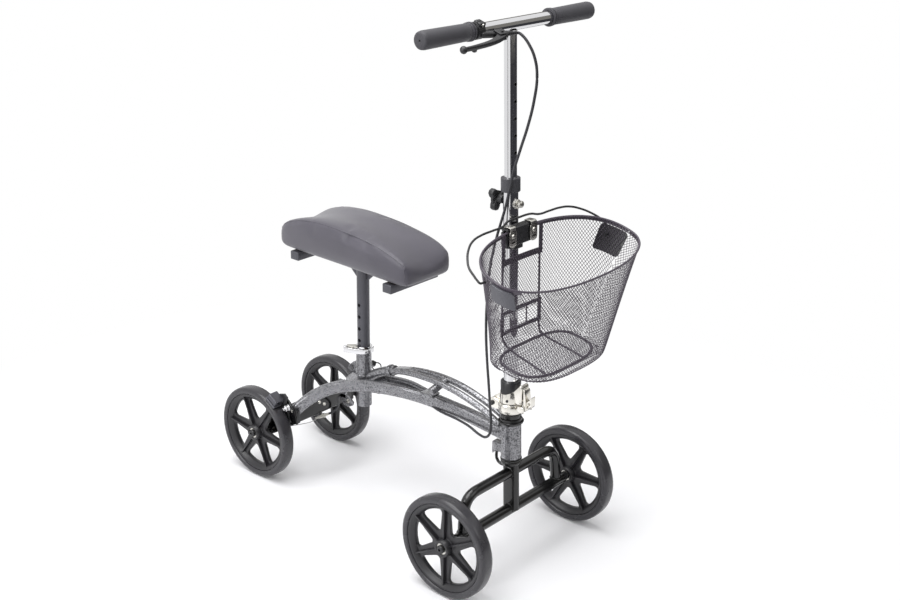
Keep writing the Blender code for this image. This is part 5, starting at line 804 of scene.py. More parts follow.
railLook = {"width": 14.5, "height": 26, "upperR": 6.4, "sleeveR": 9.75}


def headTool(radius, low, high):
    # A cylinder round the head tube's axis, brought into the frame's space
    return moved(bar(radius, (0, 0, low), (0, 0, high), 64), frameSpace.inverted() @ columnSpace)


def trimmedAtHead(mesh):
    return combine(mesh, [headTool(19.4, 50, 300), headTool(23.7, 172, 230)])


def makeRails():
    look = railLook
    # Both rails lean together from their feet on the beam and run on as one to the head tube
    knots = [(80, -85, 164), (70.5, -92, 174.5), (59, -104, 188), (50.4, -125.1, 205.5), (42.5, -147.9, 219.5),
             (31.2, -181.6, 233), (23, -216.7, 242), (18.8, -269.2, 253.1), (15, -321.3, 260), (9, -360, 260.8),
             (4.8, -397, 260), (3.5, -441, 259.2), (3.5, -480, 258.3), (3.5, -527.4, 254.5), (3.5, -585, 249)]
    section = ovalSection(look["width"], look["height"])
    for side, name in sides:
        rail = sweep([(side * x, y, z) for x, y, z in knots], section)
        addPiece("lowerRail" + name, trimmedAtHead(rail), hammertone, "frame", ["lower_rail_" + name.lower()])

    arch = [(4, -290, 290.5), (6.2, -318, 299), (8.5, -345, 304.5), (10.5, -380, 308), (11.6, -415, 308.8),
            (12, -445, 307), (12, -475, 302.5), (11.8, -505, 295.5), (11.6, -535, 286.5), (12, -585, 265)]
    twins = [trimmedAtHead(wire([(side * x, y, z) for x, y, z in arch], look["upperR"], sides=32))
             for side in (-1, 1)]
    sleeve = wire([(0, -221.5, 256), (0, -245, 271.5), (0, -270, 283.5), (0, -295, 293)], look["sleeveR"], sides=32)
    saddle = slab((23.5, 50, 12.5), (0, -320, 300), spun(-14, "X"), 5.5)
    # A strut leans from the right lower rail up under both upper ones
    strut = bar(8, (-27, -413, 292), (15, -421, 308), edge=1)
    pad = slab((24, 33, 4), (-2, -388, 273), spun(-4, "X"), 1.6)
    collar = lathe(mirrored([(9.2, 3.8), (11.2, 3.8), (12, 3)]), 48, ring=True)
    collar = aimed(collar, (0, -283, 288.8), (0, -0.4, 0.145))
    addPiece("upperRails", together(*twins, sleeve, saddle, strut, pad, collar), hammertone, "frame", ["upper_rails"])


def makeSeatSocket():
    socket = lathe([(13, 190), (15, 190), (15.8, 191), (15.8, 308.4), (15.2, 309), (13, 309)], 96, ring=True)
    gusset = upright([(14, 250), (40, 254), (43.2, 259), (42.6, 265), (29, 277), (20, 282), (14, 283)], 6, edge=1.2)
    gusset = combine(gusset, [bar(3.4, (-20, 29, 266.5), (20, 29, 266.5), 32)])
    boss = bar(7.5, (14, 0, 272), (20.3, 0, 272), edge=0.8)
    bead = weldBead((0, 0, 260), (0, 0, 1), 16.1, 1.5)
    addPiece("seatSocket", together(socket, gusset, boss, bead), hammertone, "frame", ["seat_socket"],
             space=seatSpace)

    # Pull pin: a black knob with a split ring through its stem
    knob = lathe([(0, 12.8), (2.2, 12.8), (2.6, 8.2), (5.6, 8), (6.8, 6.4), (6.8, 1.8), (5.6, 0), (3.5, -0.2),
                  (3.5, -7), (0, -7)], 48)
    knob = aimed(knob, (21.3, 0, 272), (1, 0, 0))
    turns = [math.tau * k / 24 for k in range(24)]
    ring = [(33 + 6.2 * math.sin(a), -4 - 6.2 * math.sin(a), 264 + 8.8 * math.cos(a)) for a in turns]
    addPiece("seatLockPin", together(knob, wire(ring, 1.2, closed=True, sides=8)), nylon, "seat_lock_pin",
             ["seat_lock_pin"], space=seatSpace)

    # Clamp: a grooved band, a strap round it to the barrel that the lever turns on, and a lug
    band = lathe([(12.9, 309.6), (16.4, 309.6), (17, 310.2), (17, 313), (16.4, 313.6), (16.4, 317.8), (17, 318.4),
                  (17, 321.2), (16.4, 321.8), (12.9, 321.8)], 96, ring=True)
    outer = [(37.2, 11), (30, 15.5), (22.5, 19.2), (13, 22), (4, 23.4), (-5, 23), (-12, 20.5), (-16.8, 16.2),
             (-20, 10.5), (-21.2, 3.5)]
    inner = [(-18.6, 3.5), (-17.6, 9), (-14.8, 14), (-10.4, 17.6), (-4.2, 20), (4, 20.4), (12, 19), (21, 16.2),
             (28.2, 12.5), (34.5, 7.8)]
    strap = moved(plate([aroundColumn(*p) for p in outer + inner], 10.6, edge=0.8), shift(z=315.7))
    barrelAt = aroundColumn(36.2, 7.2)
    barrel = bar(4.4, (*barrelAt, 309.2), (*barrelAt, 322.6), 32, 0.6)
    lug = slab((20, 7.5, 10.4), (-20.5, 13, 315.7), spun(136, "Z"), 1.4)
    addPiece("seatClamp", together(band, strap, barrel, lug), chrome, "frame", ["seat_clamp"], space=seatSpace)

    outline = [(33.5, 3.5), (32.5, 11.5), (23, 17.2), (12, 20), (10, 15), (12.5, 8.5), (16.5, 3.5)]
    handle = moved(plate([aroundColumn(*p) for p in outline], 2.4, edge=0.6), shift(z=323.6))
    pivot = bar(2.2, (-29.5, 3, 322), (-29.5, 3, 325), 24, 0.4)
    addPiece("seatClampLever", together(handle, pivot), zinc, "seat_clamp_lever", ["seat_clamp_lever"],
             space=seatSpace)


def makeRearBeam():
    # A box beam with rounded edges, an axle arm at each end, and at the near end the bracket that carries the brake
    arm = [(-86, 133), (-10, 84), (6, 83), (15, 91), (15.5, 106), (8, 115), (-58, 170), (-86, 171)]
    web = [(-104, 141.5), (-84.5, 139.5), (-60, 168), (-56, 185), (-69, 194), (-80, 189), (-90.5, 178), (-98.5, 169)]
    pieces = [slab((166, 25, 38), (0, -75, 152), edge=4), upright(arm, 5, -84.8), upright(web, 4, -93.5),
              slab((11, 4, 29), (-88, -98.5, 155), edge=1.2), upright(arm, 5, 84.8)]
    addPiece("rearBeam", together(*pieces), glossBlack, "frame", ["rear_beam"])
    bolts = [aimed(lathe([(0, 2.6), (3, 2.2), (4, 0), (0, 0)], 32), (x, -87.4, z), (0, -1, 0))
             for x, z in ((-16, 160.6), (-2, 151.6))]
    addPiece("beamBolts", together(*bolts), zinc, "frame")


def makeRearBrake():
    # Brake arm: a lever on the bracket's pivot bolt, with the shoe's holder above it
    boss = bar(5.5, (-93, -83, 168), (-93, -67, 168), 32, 0.6)
    lower = slab((3.6, 13, 43), (-95.1, -75, 146.5))
    riser = upright([(-61, 165), (-56, 188), (-60, 201), (-76, 206), (-85, 199), (-82, 190), (-72, 178),
                     (-70, 165)], 4, -101)
    addPiece("brakeArm", together(boss, lower, riser), satinBlack, "brake", ["brake_arm"])

    # The shoe lies on the tyre, 32.5 degrees forward of its top
    tilt = spun(32.5, "X")
    out = tilt @ Vector((0, 0, 1))
    middle = Vector((-113, 0, layout["axleZ"])) + out * 103.5
    block = slab((27, 30, 5), middle, tilt, 1.2)
    holder = slab((23, 26, 12), middle + out * 8.6, tilt, 1.6)
    holder = combine(holder, [slab((13, 30, 6), middle + out * 9.2, tilt, edge=0)])
    addPiece("brakeShoe", together(block, holder), graphite, "brake", ["brake_shoe"], slot="black_plastic")
    spans = ((7, -5, 3, 6, 0.8), (8.8, 3, 4.8, 48, 0.4), (3.6, -9.5, 4.8, 32, 0.5))  # nut, washer and stud
    nut = [bar(radius, (start - 101, -78, 173), (end - 101, -78, 173), steps, edge)
           for radius, start, end, steps, edge in spans]
    addPiece("brakeNut", together(*nut), chrome, "brake")
    pivot = lathe(mirrored([(0, 16.5), (4, 16.5), (4.4, 16), (4.4, 13.2), (2.4, 13)]), 32)
    addPiece("brakePivot", aimed(pivot, (-93, -75, 168), (0, 1, 0)), zinc, "frame", ["brake_pivot_bolt"])

    # A plate welded under the rails holds the cable with a bolt
    tab = upright([(-138, 193), (-153, 199), (-170, 196), (-181, 186), (-179, 179), (-165, 172), (-151, 174)], 4, -6,
                  0.8, 2)
    stem = slab((4, 20, 40), (-6, -150, 209), edge=0.8)
    addPiece("cableTab", together(tab, stem), hammertone, "frame", ["cable_tab"])
    bolt = lathe([(0, 3), (3.6, 2.6), (4.8, 0.6), (4.8, 0), (0, 0)], 32)
    addPiece("cableTabBolt", aimed(bolt, (-8, -166.3, 186), (-1, 0, 0)), zinc, "frame")

    # The cable's adjuster: barrel, lock nut and the ferrule
    adjuster = lathe([(0, 33), (2.2, 33), (2.2, 25), (3.4, 24.6), (3.4, 14), (5.2, 13.6), (5.2, 9.2), (3, 8.8),
                      (3, 0), (0, 0)], 32)
    addPiece("cableAdjuster", aimed(adjuster, (3.4, -92.5, 127.5), (-0.985, 0.11, 0.02)), zinc, "frame",
             ["cable_adjuster"])


makeRails()
makeSeatSocket()
makeRearBeam()
makeRearBrake()
print("rails, socket and rear brake made")


# ---- basket: expanded mesh on a wire rim, its back open behind the bracket

basketLook = {
    # Sizes at the floor and at the rim
    "half": (121.9, 189.7), "back": (-25.5, -29), "wide": (-76.2, -123.2), "front": (-152, -191.5),
    "slope": (0.2175, 0.359), "height": (346.5, 561.5), "frontPower": (2.9, 2.27), "backPower": (3.2, 2.35),
    "flare": {"half": 1.37, "front": 0.744}, "bottomR": 10,
    "cell": (6.4, 8), "rows": 27, "floorCell": (6.2, 6.2), "strand": 0.95, "rimR": 2, "hem": 0.97,
    "middle": -3, "windowHalf": 49, "window": (512.5, 556), "ladderHalf": 50, "ladder": (379, 409.5),
    "ringHalf": 101, "ringBack": -34, "ringMiddle": -80, "ringFront": -132, "ringPower": 0.66,
}
floorSize = {key: value[0] for key, value in basketLook.items() if isinstance(value, tuple)}
ringCache = {}


def basketPoint(level, angle):
    # The wall's outside at a level from 0, the floor, to 1, the rim; its foot curves in to the floor
    look = basketLook
    now = {key: look[key][0] + (look[key][1] - look[key][0]) * level ** look["flare"].get(key, 1)
           for key in ("half", "back", "wide", "front", "slope", "height", "frontPower", "backPower")}
    foot = look["bottomR"] - level * (look["height"][1] - look["height"][0])
    inset = look["bottomR"] - math.sqrt(look["bottomR"] ** 2 - foot ** 2) if foot > 0 else 0
    c, s = math.cos(angle), math.sin(angle)
    power = 2 / (now["backPower"] if s > 0 else now["frontPower"])
    x = (now["half"] - inset) * math.copysign(abs(c) ** power, c)
    edge = (now["back"] - inset) if s > 0 else (now["front"] + inset)
    v = now["wide"] + (edge - now["wide"]) * abs(s) ** power
    return Vector((x, v, now["height"] + now["slope"] * (v - now["back"])))


def wallRow(level, side):
    # One level's points from the middle of the back (side 1) or the front (-1) out to the widest place, with lengths
    key = (round(level, 5), side)
    if key not in ringCache:
        points = [basketPoint(level, side * math.pi / 2 * (1 - k / 90)) for k in range(91)]
        lengths = [0.0]
        for a, b in zip(points, points[1:]):
            lengths.append(lengths[-1] + (b - a).length)
        ringCache[key] = (points, lengths)
    return ringCache[key]


def rowLength(level, side):
    return wallRow(level, side)[1][-1]


def onWall(side, along, level):
    # The wall's point at a distance along its level from the middle, to the left for a positive distance
    points, lengths = wallRow(level, side)
    far = min(abs(along), lengths[-1])
    k = min(bisect.bisect_right(lengths, far), len(lengths) - 1)
    point = points[k - 1].lerp(points[k], (far - lengths[k - 1]) / (lengths[k] - lengths[k - 1]))
    return Vector((math.copysign(point.x, along), point.y, point.z)) if along else point


def gridOf(columns, rows):
    bm = bmesh.new()
    bmesh.ops.create_grid(bm, x_segments=columns, y_segments=rows, size=0.5)
    return bm


def diamonds(columns, rows, cell, place, keep):
    # Expanded mesh: a grid's squares are poked and their own edges dissolved, which leaves diamonds
    bm = gridOf(columns, rows)
    for v in bm.verts:
        v.co = Vector((v.co.x * columns * cell[0], (v.co.y + 0.5) * rows * cell[1], 0))
    ribs = bm.edges[:]
    bmesh.ops.poke(bm, faces=bm.faces[:])
    bmesh.ops.dissolve_edges(bm, edges=[e for e in ribs if e.is_valid and not e.is_boundary], use_verts=False)
    for v in bm.verts:
        v.co = place(v.co.x, v.co.y)
    gone = [f for f in bm.faces if not keep(f.calc_center_median())]
    bmesh.ops.delete(bm, geom=gone, context="FACES")
    bm.normal_update()
    bmesh.ops.wireframe(bm, faces=bm.faces[:], thickness=basketLook["strand"], use_replace=True, use_boundary=True,
                        use_even_offset=True)
    return rawMesh(bm)


def wallKeep(point):
    # False beyond a seam and in the two openings of the back
    look = basketLook
    x, s = abs(point.x - look["middle"]), point.z
    window = x < look["windowHalf"] and look["window"][0] < s < look["window"][1] + 10
    ladder = x < look["ladderHalf"] and look["ladder"][0] < s < look["ladder"][1]
    return point.y < 500 and not (point.y > -60 and (window or ladder))


def wallPatch(place, across, upward, lift, corner=0.0, thickness=1.5):
    # A strip or plate bent to the wall: place(u, v) gives its points for u and v from 0 to 1
    bm = gridOf(across, upward)
    for v in bm.verts:
        u, w = v.co.x + 0.5, v.co.y + 0.5
        edge = max(0.0, (abs(2 * w - 1) - 1 + corner) / corner) if corner else 0.0
        u = 0.5 + (u - 0.5) * (1 - 0.5 * corner * (1 - math.sqrt(max(0.0, 1 - edge * edge))))
        v.co = place(u, w)
    bm.normal_update()
    middle = sum((v.co for v in bm.verts), Vector()) / len(bm.verts)
    outward = middle - Vector((0, -90, middle.z))
    if sum((f.normal.dot(outward) for f in bm.faces)) < 0:
        bmesh.ops.reverse_faces(bm, faces=bm.faces[:])
        bm.normal_update()
    for v in bm.verts:
        v.co += v.normal * lift
    bmesh.ops.solidify(bm, geom=bm.faces[:], thickness=-thickness)
    return meshOf(bm, 0.1)


def wallStrip(side, alongs, levels, lift, across, upward=1):
    def place(u, w):
        return onWall(side, alongs[0] + (alongs[1] - alongs[0]) * u, levels[0] + (levels[1] - levels[0]) * w)
    return wallPatch(place, across, upward, lift)


def floorPoint(x, v, lift=0):
    return Vector((x, v, floorSize["height"] + floorSize["slope"] * (v - floorSize["back"]) + lift))


def makeBasketMesh():
    look, low = basketLook, floorSize
    cell, rows = look["cell"], look["rows"]
    for side, name in ((-1, "Front"), (1, "Back")):
        def place(along, up):
            level = min(up / (rows * cell[1]), 1.0)
            if abs(along) > rowLength(level, side):  # beyond the seam: left out
                return Vector((along, 9000, 0))
            return onWall(side, along, level)

        wall = diamonds(2 * math.ceil(rowLength(1.0, side) / cell[0]), rows, cell, place, wallKeep)
        addPiece("basketMesh" + name, wall, meshCoat, "basket")

    def floorKeep(point):
        grown = 2 - look["bottomR"]
        reach = abs((low["back"] if point.y > low["wide"] else low["front"]) - low["wide"]) + grown
        return (abs(point.x) / (low["half"] + grown)) ** 3 + (abs(point.y - low["wide"]) / reach) ** 3 < 1

    floor = diamonds(34, 18, look["floorCell"], lambda along, up: floorPoint(along, low["back"] + 4 - up), floorKeep)
    addPiece("basketMeshFloor", floor, meshCoat, "basket")


def makeBasketWires():
    # Wires: rim, floor ring, uprights that run under the floor, and thin ones in the ladder
    look = basketLook
    wires = [wire([basketPoint(1.0, math.tau * k / 96) for k in range(96)], look["rimR"], closed=True)]
    ring, power, middle = [], look["ringPower"], look["ringMiddle"]
    for k in range(48):
        c, s = math.cos(math.tau * k / 48), math.sin(math.tau * k / 48)
        v = middle + (look["ringBack" if s > 0 else "ringFront"] - middle) * abs(s) ** power
        ring.append(floorPoint(look["ringHalf"] * math.copysign(abs(c) ** power, c), v, 2.2))
    wires.append(wire(ring, 2.6, closed=True))
    for side, (near, far) in ((-1, (47.5, 60)), (1, (50, 46))):
        x = look["middle"] + side * 52.5
        wires.append(wire([(x, -26.2, 503), (x, -25.5, 430), (x, -25, 370), (side * near, -29, 351),
                           floorPoint(side * near, -40, 2), floorPoint(side * (near + far) / 2, -85, 2),
                           floorPoint(side * far, -130, 2)], 2))
        wires.append(bar(1.4, (look["middle"] + side * 17, -25, 411.9), (look["middle"] + side * 16, -25, 375.1), 12))
    addPiece("basketWires", together(*wires), meshCoat, "basket", ["basket"])


def makeBasketStrips():
    # Flat strips: the hem under the rim, the window's frame and the ladder's
    look = basketLook
    low, high = look["height"]
    hem, middle, wide, inner = (look[key] for key in ("hem", "middle", "windowHalf", "ladderHalf"))
    sill = (look["window"][0] - low) / (high - low)
    foot, top = ((s - low) / (high - low) for s in look["ladder"])
    frameBand, ladderBand, past = 0.052, 0.032, 0.03  # shares of the wall's height
    strips = []
    for side in (-1, 1):
        end = rowLength(0.98, side)
        start = 0 if side > 0 else 0.8 * end  # along the back and just round the sides
        strips += [wallStrip(side, (half * start, half * end * 0.999), (hem, 0.998), 0.6, 60)
                   for half in (-1, 1)]
    for half in (-1, 1):
        strips.append(wallStrip(1, (middle + half * (wide - 0.5), middle + half * (wide + 8.5)),
                                (sill - frameBand, hem + 0.01), 1, 2, 12))
        strips.append(wallStrip(1, (middle + half * (inner - 0.5), middle + half * (inner + 7)),
                                (foot - past, top + past), 1, 2, 8))
    for half, start, end in ((wide + 8, sill - frameBand, sill), (57.5, foot - ladderBand, foot),
                             (57.5, top, top + ladderBand)):
        strips.append(wallStrip(1, (middle - half, middle + half), (start, end), 1.2, 30))
    addPiece("basketStrips", together(*strips), meshCoat, "basket")


def makeBasketPlates():
    # Bare plates on the outside, one at each side. The far, left one is satin black and the near, right one lighter
    # graphite: lit and shaded copies of one plate, with painted shade on the far one
    for name, sign, (first, last), (low, high), material in (("Left", 1, (0, 26), (0.735, 0.965), satinBlack),
                                                              ("Right", -1, (-20, 4), (0.8, 0.98), graphite)):
        def place(u, w):
            angle = math.radians(first + (last - first) * u)
            return basketPoint(low + (high - low) * w, angle if sign > 0 else math.pi - angle)
        addPiece("basketPlate" + name, wallPatch(place, 24, 24, 2, 0.28, 4), material, "basket",
                 slot="basket_black")

    # A black plate hangs over the rim at the back, with two hooks of bent strip riveted to it
    middle = basketLook["middle"] - 5
    hang = upright([(-32.2, 534), (-31.2, 533), (-30.6, 534), (-30.6, 564), (-29, 565.6), (-18, 565.6),
                    (-17.6, 566.4), (-18, 567.2), (-30, 567.2), (-32.2, 565)], 84, middle, 0.4)
    addPiece("basketHanger", hang, satinBlack, "basket", slot="basket_black")
    faceOn = Matrix(((1, 0, 0, 0), (0, 0, 1, 0), (0, 1, 0, 0), (0, 0, 0, 1)))
    hooks = []
    for x in (middle - 29, middle + 29):
        over = upright([(-35.6, 546), (-34, 546), (-34, 567), (-32.5, 568.4), (-20, 568.4), (-19.6, 569.2),
                        (-20, 570), (-33.5, 570), (-35.6, 568)], 15, x, 0.4)
        tab = plate([(-10, 533), (10, 533), (10, 564), (-10, 564)], 1.6, edge=0.4, corners=8.5)
        tab = combine(tab, [slab((10, 2.6, 10), (0, 542, 0), edge=0)])
        rivet = lathe([(0, 2.6), (3, 2.2), (4.2, 0.8), (4.4, 0), (0, 0)], 32)
        hooks += [over, moved(tab, shift(x, -34.8) @ faceOn), aimed(rivet, (x, -35.6, 553), (0, -1, 0))]
    addPiece("basketHooks", together(*hooks), zinc, "basket")


def makeBasketFittings():
    # The bracket behind it: a plate, its fold, a neck and a band round the column
    band = lathe([(13.7, 520), (16.8, 520), (17.2, 520.6), (17.2, 544.4), (16.8, 545), (13.7, 545)], 64, ring=True)
    blocks = (((76, 2.6, 26.5), (-3.5, -16, 548.5), 0.9), ((76, 6, 2.2), (-3.5, -16, 561.2), 0.8),
              ((24, 9, 28), (0, -14, 533), 1.5))
    parts = [combine(slab(size, at, edge=edge), [bar(13.7, (0, 0, 500), (0, 0, 580), 64)])
             for size, at, edge in blocks]
    addPiece("basketBracket", together(*parts, band), satinBlack, "column", ["basket_bracket"], slot="black_plastic")

    # The bail leans 40 degrees: half of it, as the place across and the share of its 90 mm reach
    half = [(0, 1), (20, 1), (34, 0.985), (50, 0.925), (80, 0.915), (110, 0.905), (136, 0.85), (158, 0.72),
            (177, 0.52), (186, 0.36), (188, 0.2), (188.4, 0.08), (187.2, 0.012), (182, 0), (165, 0)]
    lean = math.radians(40)
    knots = bothSides([Vector((x, 90 * share * math.cos(lean) - 87.2, 518.4 + 90 * share * math.sin(lean)))
                       for x, share in half])
    addPiece("basketBail", wire(knots, 2, sides=16), satinBlack, "basket_bail", ["basket_bail"], slot="basket_black")


makeBasketMesh()
makeBasketWires()
makeBasketStrips()
makeBasketPlates()
makeBasketFittings()
print("basket made")


# ---- seat

padLook = {"pipe": 1.3, "dip": 7, "fill": 0.8, "under": 2, "levels": 3}
clothLook = {"voxel": 0.0055, "heldZ": 0.512, "pressure": 4.0, "frames": 20, "reach": 0.006}  # metres, for the cloth
padStations = [  # place, half width, seam height, underside
    (-179, 60, 534, 510), (-174, 66, 547, 505), (-162, 68, 556, 504), (-140, 69, 566, 504), (-88, 69, 579, 505),
    (0, 69, 588.5, 507), (75, 69, 588, 508), (130, 68, 578, 508.5), (160, 66, 565, 508.5), (176, 62, 550, 510),
    (180, 55, 537, 516)]


def padCage(shrink=0):
    bm = bmesh.new()
    loops = []
    for y, half, seam, low in padStations:
        half, seam = half - shrink, seam - shrink
        side = [(0.55 * half, low), (0.93 * half, low), (half, low + 6), (half - 2, (seam + low) / 2),
                (half, seam - 5), (0.95 * half, seam + 1), (0.72 * half, seam - 1),
                (0.36 * half, seam - 0.65 * padLook["dip"]), (0, seam - padLook["dip"])]
        ring = [(0, low)] + side + [(-x, z) for x, z in reversed(side[:-1])]
        row = [bm.verts.new((x, y, z)) for x, z in ring]
        loops.append([bm.edges.new(pair) for pair in zip(row, row[1:] + row[:1])])
    for low, high in zip(loops, loops[1:]):
        bmesh.ops.bridge_loops(bm, edges=low + high)
    for loop in (loops[0], loops[-1]):
        bmesh.ops.contextual_create(bm, geom=loop)
    return meshOf(bm)


def modified(mesh, *steps):
    # The mesh after a few modifiers, each given as (kind, settings)
    holder = newObject("holder", mesh)
    for kind, settings in steps:
        step = holder.modifiers.new(kind, kind)
        for key, value in settings.items():
            setattr(step, key, value)
    result = evaluated(holder)
    bpy.data.objects.remove(holder)
    return result


def pressed(mesh):
    # Foam pushes the cover out: a short cloth simulation under pressure, its movement capped, its base held
    look, scene = clothLook, bpy.context.scene
    start = modified(moved(mesh, metres), ("REMESH", {"mode": "VOXEL", "voxel_size": look["voxel"]}))
    holder = newObject("cover", start)
    held = holder.vertex_groups.new(name="held")
    for v in start.vertices:
        held.add([v.index], 1.0 if v.co.z < look["heldZ"] else 0.0, "REPLACE")
    cloth = holder.modifiers.new("cloth", "CLOTH")
    for key, value in {"quality": 6, "mass": 0.3, "tension_stiffness": 25, "compression_stiffness": 25,
                       "shear_stiffness": 10, "bending_stiffness": 6, "use_pressure": True,
                       "uniform_pressure_force": look["pressure"], "vertex_group_mass": "held"}.items():
        setattr(cloth.settings, key, value)
    cloth.settings.effector_weights.gravity = 0
    cloth.point_cache.frame_start, cloth.point_cache.frame_end = 1, look["frames"]
    for number in range(1, look["frames"] + 1):
        scene.frame_set(number)
    cover = evaluated(holder)
    scene.frame_set(1)
    bpy.data.objects.remove(holder)
    far = 0.0
    for v, old in zip(cover.vertices, start.vertices):
        step = v.co - old.co
        if step.length > look["reach"]:
            step *= look["reach"] / step.length
        far = max(far, step.length)
        v.co = old.co + step
    print("cloth moved the cover by up to", round(far * 1000, 1), "mm")
    return modified(moved(cover, metres.inverted()), ("SMOOTH", {"iterations": 6, "factor": 0.5}),
                    ("SUBSURF", {"levels": 1, "render_levels": 1}))


def makePad():
    shape = ("SUBSURF", {"levels": padLook["levels"], "render_levels": padLook["levels"]})
    cover = pressed(modified(padCage(padLook["under"]), shape))
    # The seam: a welt laid on the cover along both top edges and down the front corners
    surface = newObject("surface", cover)
    bpy.context.view_layer.update()
    tree = BVHTree.FromObject(surface, bpy.context.evaluated_depsgraph_get())
    bpy.data.objects.remove(surface)
    corner = [(61.5, -170, 518), (62, -171, 530), (63, -170, 540)]
    edge = corner + [(half * 0.99, y, seam - 1) for y, half, seam, _ in padStations[1:-1]]
    welts = []
    for side in (-1, 1):
        points = []
        for x, y, z in edge:
            place, normal = tree.find_nearest((side * x, y, z))[:2]
            points.append(place - normal * 0.3)
        welts.append(wire(points, padLook["pipe"]))
    pocket = slab((104.6, 300.6, 20), (0, -3, 507.5), edge=0)
    cover = combine(cover, [slab((300, 600, 20), (0, 0, 493.8), edge=0), pocket])
    pad = addPiece("seatCover", cover, vinyl, "seat", ["seat_pad"], smooth=70)
    addPiece("seatPiping", together(*welts), vinyl, "seat")


def makeSeatPost():
    post = lathe([(0, 494), (12.7, 494), (12.7, 212.4), (12.3, 212), (0, 212)], 64)
    post = combine(post, [bar(3.9, (-30, 0, 411 - 25.4 * k), (30, 0, 411 - 25.4 * k), 32) for k in range(8)])
    gussets = [upright([(side * y, z) for y, z in ((11, 494.5), (11, 466), (16.5, 466), (42, 489.5), (42, 494.5))], 4,
                       edge=0.5) for side in (-1, 1)]
    rail = slab((30, 236, 13.5), (0, -3, 500.85), edge=2)
    bead = weldBead((0, 0, 493.6), (0, 0, 1), 13.2, 1.6)
    addPiece("seatPost", together(post, *gussets, rail, bead), graphite, "seat", ["seat_post"])
    for name, y, z in (("Front", -129, 494), ("Rear", 126, 499)):
        addPiece("batten" + name, slab((134, 22.5, 17.5), (0, y, z), edge=1.6), graphite, "seat",
                 [name.lower() + "_batten"], slot="black_plastic")


makePad()
makeSeatPost()
print("seat made")


# ---- brake cable

cableLook = {
    "radius": 2.5,
    "upper": [(-17, -27.8, 897.9), (-13.8, -28.4, 897.7), (-11.2, -34.5, 893.5), (-8.2, -46.5, 879),
              (-5.2, -56, 857.2), (-3, -59.1, 829), (-3.7, -53.7, 786.7), (-7.1, -43.7, 743.5), (-11.2, -29.8, 699.3),
              (-14.5, -19, 663.2), (-15.8, -14.8, 644.2), (-18.2, -9.6, 619)],
    "middle": [(-18.2, -9.6, 618.7), (-20.4, -5.5, 598.6), (-25.1, 2.2, 566.9), (-28.1, 8, 544.3),
               (-35.3, 18.5, 485.9), (-38.3, 23.5, 423.7), (-39.4, 25.5, 366.3), (-37.7, 25.1, 307.6),
               (-34.5, 24.1, 255), (-32.7, 23.6, 223)],
    "crossing": (-32.7, 23.6, 222.7),
    "lower": [(-30.5, -565.2, 294.9), (-30, -566, 274), (-29, -562.2, 254), (-27, -550.4, 242.8),
              (-24.5, -534.8, 241.8), (-20, -506.4, 247), (-16.5, -478.3, 249.2), (-12.5, -416.9, 251.2),
              (-4, -380, 256), (0, -340, 257), (0, -300, 250), (3, -262, 235), (17, -232, 217), (24, -206, 211),
              (16, -180, 209), (5.6, -152, 202), (6.4, -128, 183), (20, -108, 156), (27, -98, 138),
              (20, -93.5, 128.5), (3.4, -92.5, 127.5)],
}


def addCable(name, points):
    # A jacket laid between the two bodies that it joins, from one of its points to another, and fixed in place
    mesh = wire(points, cableLook["radius"], sides=16)
    piece = finished("cable" + name, mesh, cableJacket, Matrix(), 50)
    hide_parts("cable_" + name.lower())
    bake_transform(piece)


def makeCables():
    upper, middle = ([columnSpace @ Vector(p) for p in cableLook[key]] for key in ("upper", "middle"))
    lower = [columnSpace @ Vector(cableLook["crossing"])] + [frameSpace @ Vector(p) for p in cableLook["lower"]]
    addCable("Upper", upper)
    addCable("Middle", middle)
    addCable("Lower", lower)


makeCables()
print("cables made")


# ---- camera, light, backdrop: these are in metres

def makeCamera():
    # Fitted to the photograph; the focal length is in pixels of its width
    look = {"yaw": -49.032, "pitch": 21.124, "roll": 0.809, "at": (-1.7354, -1.606978, 1.3676), "focal": 1315.4,
            "width": 900, "sensor": 36}
    data = bpy.data.cameras.new("camera")
    data.sensor_width = look["sensor"]
    data.lens = look["focal"] * look["sensor"] / look["width"]
    data.clip_end = 200
    camera = newObject("camera", data)
    camera.matrix_world = (shift(*look["at"]) @ spun(look["yaw"], "Z") @ spun(90 - look["pitch"], "X")
                           @ spun(look["roll"], "Z"))
    bpy.context.scene.camera = camera


def addLamp(name, at, target, size, power):
    data = bpy.data.lights.new(name, "AREA")
    data.shape = "RECTANGLE"
    data.size, data.size_y = size
    data.energy = power
    lamp = newObject(name, data)
    aim = (Vector(target) - Vector(at)).to_track_quat("-Z", "Y").to_matrix().to_4x4()
    lamp.matrix_world = Matrix.Translation(at) @ aim
    lamp.visible_camera = False


def seenDirectly(tree):
    # 1 for what the camera sees, straight, mirrored in metal or through glass
    path = addNode(tree, "LightPath").outputs
    seen = path["Is Camera Ray"]
    for other in ("Is Transmission Ray", "Is Glossy Ray"):
        seen = addNode(tree, "Math", {"operation": "MAXIMUM"}, {0: seen, 1: path[other]}).outputs[0]
    return seen


def emptyTree(owner):
    owner.use_nodes = True
    owner.node_tree.nodes.clear()
    return owner.node_tree


def addReflectionCard(name, tint, profile, start, end):
    # A painted reflection: a glowing card that only shows in chrome and gloss, a profile of (radius, height) spun
    # between two bearings
    bm = bmesh.new()
    first = spun(start, "Z")
    points = [bm.verts.new(first @ Vector((radius, 0, height))) for radius, height in profile]
    edges = [bm.edges.new(pair) for pair in zip(points, points[1:])]
    bmesh.ops.spin(bm, geom=points + edges, cent=(0, 0, 0), axis=(0, 0, 1), angle=math.radians(end - start), steps=24)
    card = newObject(name, meshOf(bm, 0.00002))
    material = bpy.data.materials.new(name)
    tree = emptyTree(material)
    glow = addNode(tree, "Emission", {"Color": hexColor(tint), "Strength": 1.0})
    addNode(tree, "OutputMaterial", None, {"Surface": glow.outputs[0]})
    card.data.materials.append(material)
    card.visible_camera = card.visible_diffuse = card.visible_transmission = card.visible_shadow = False


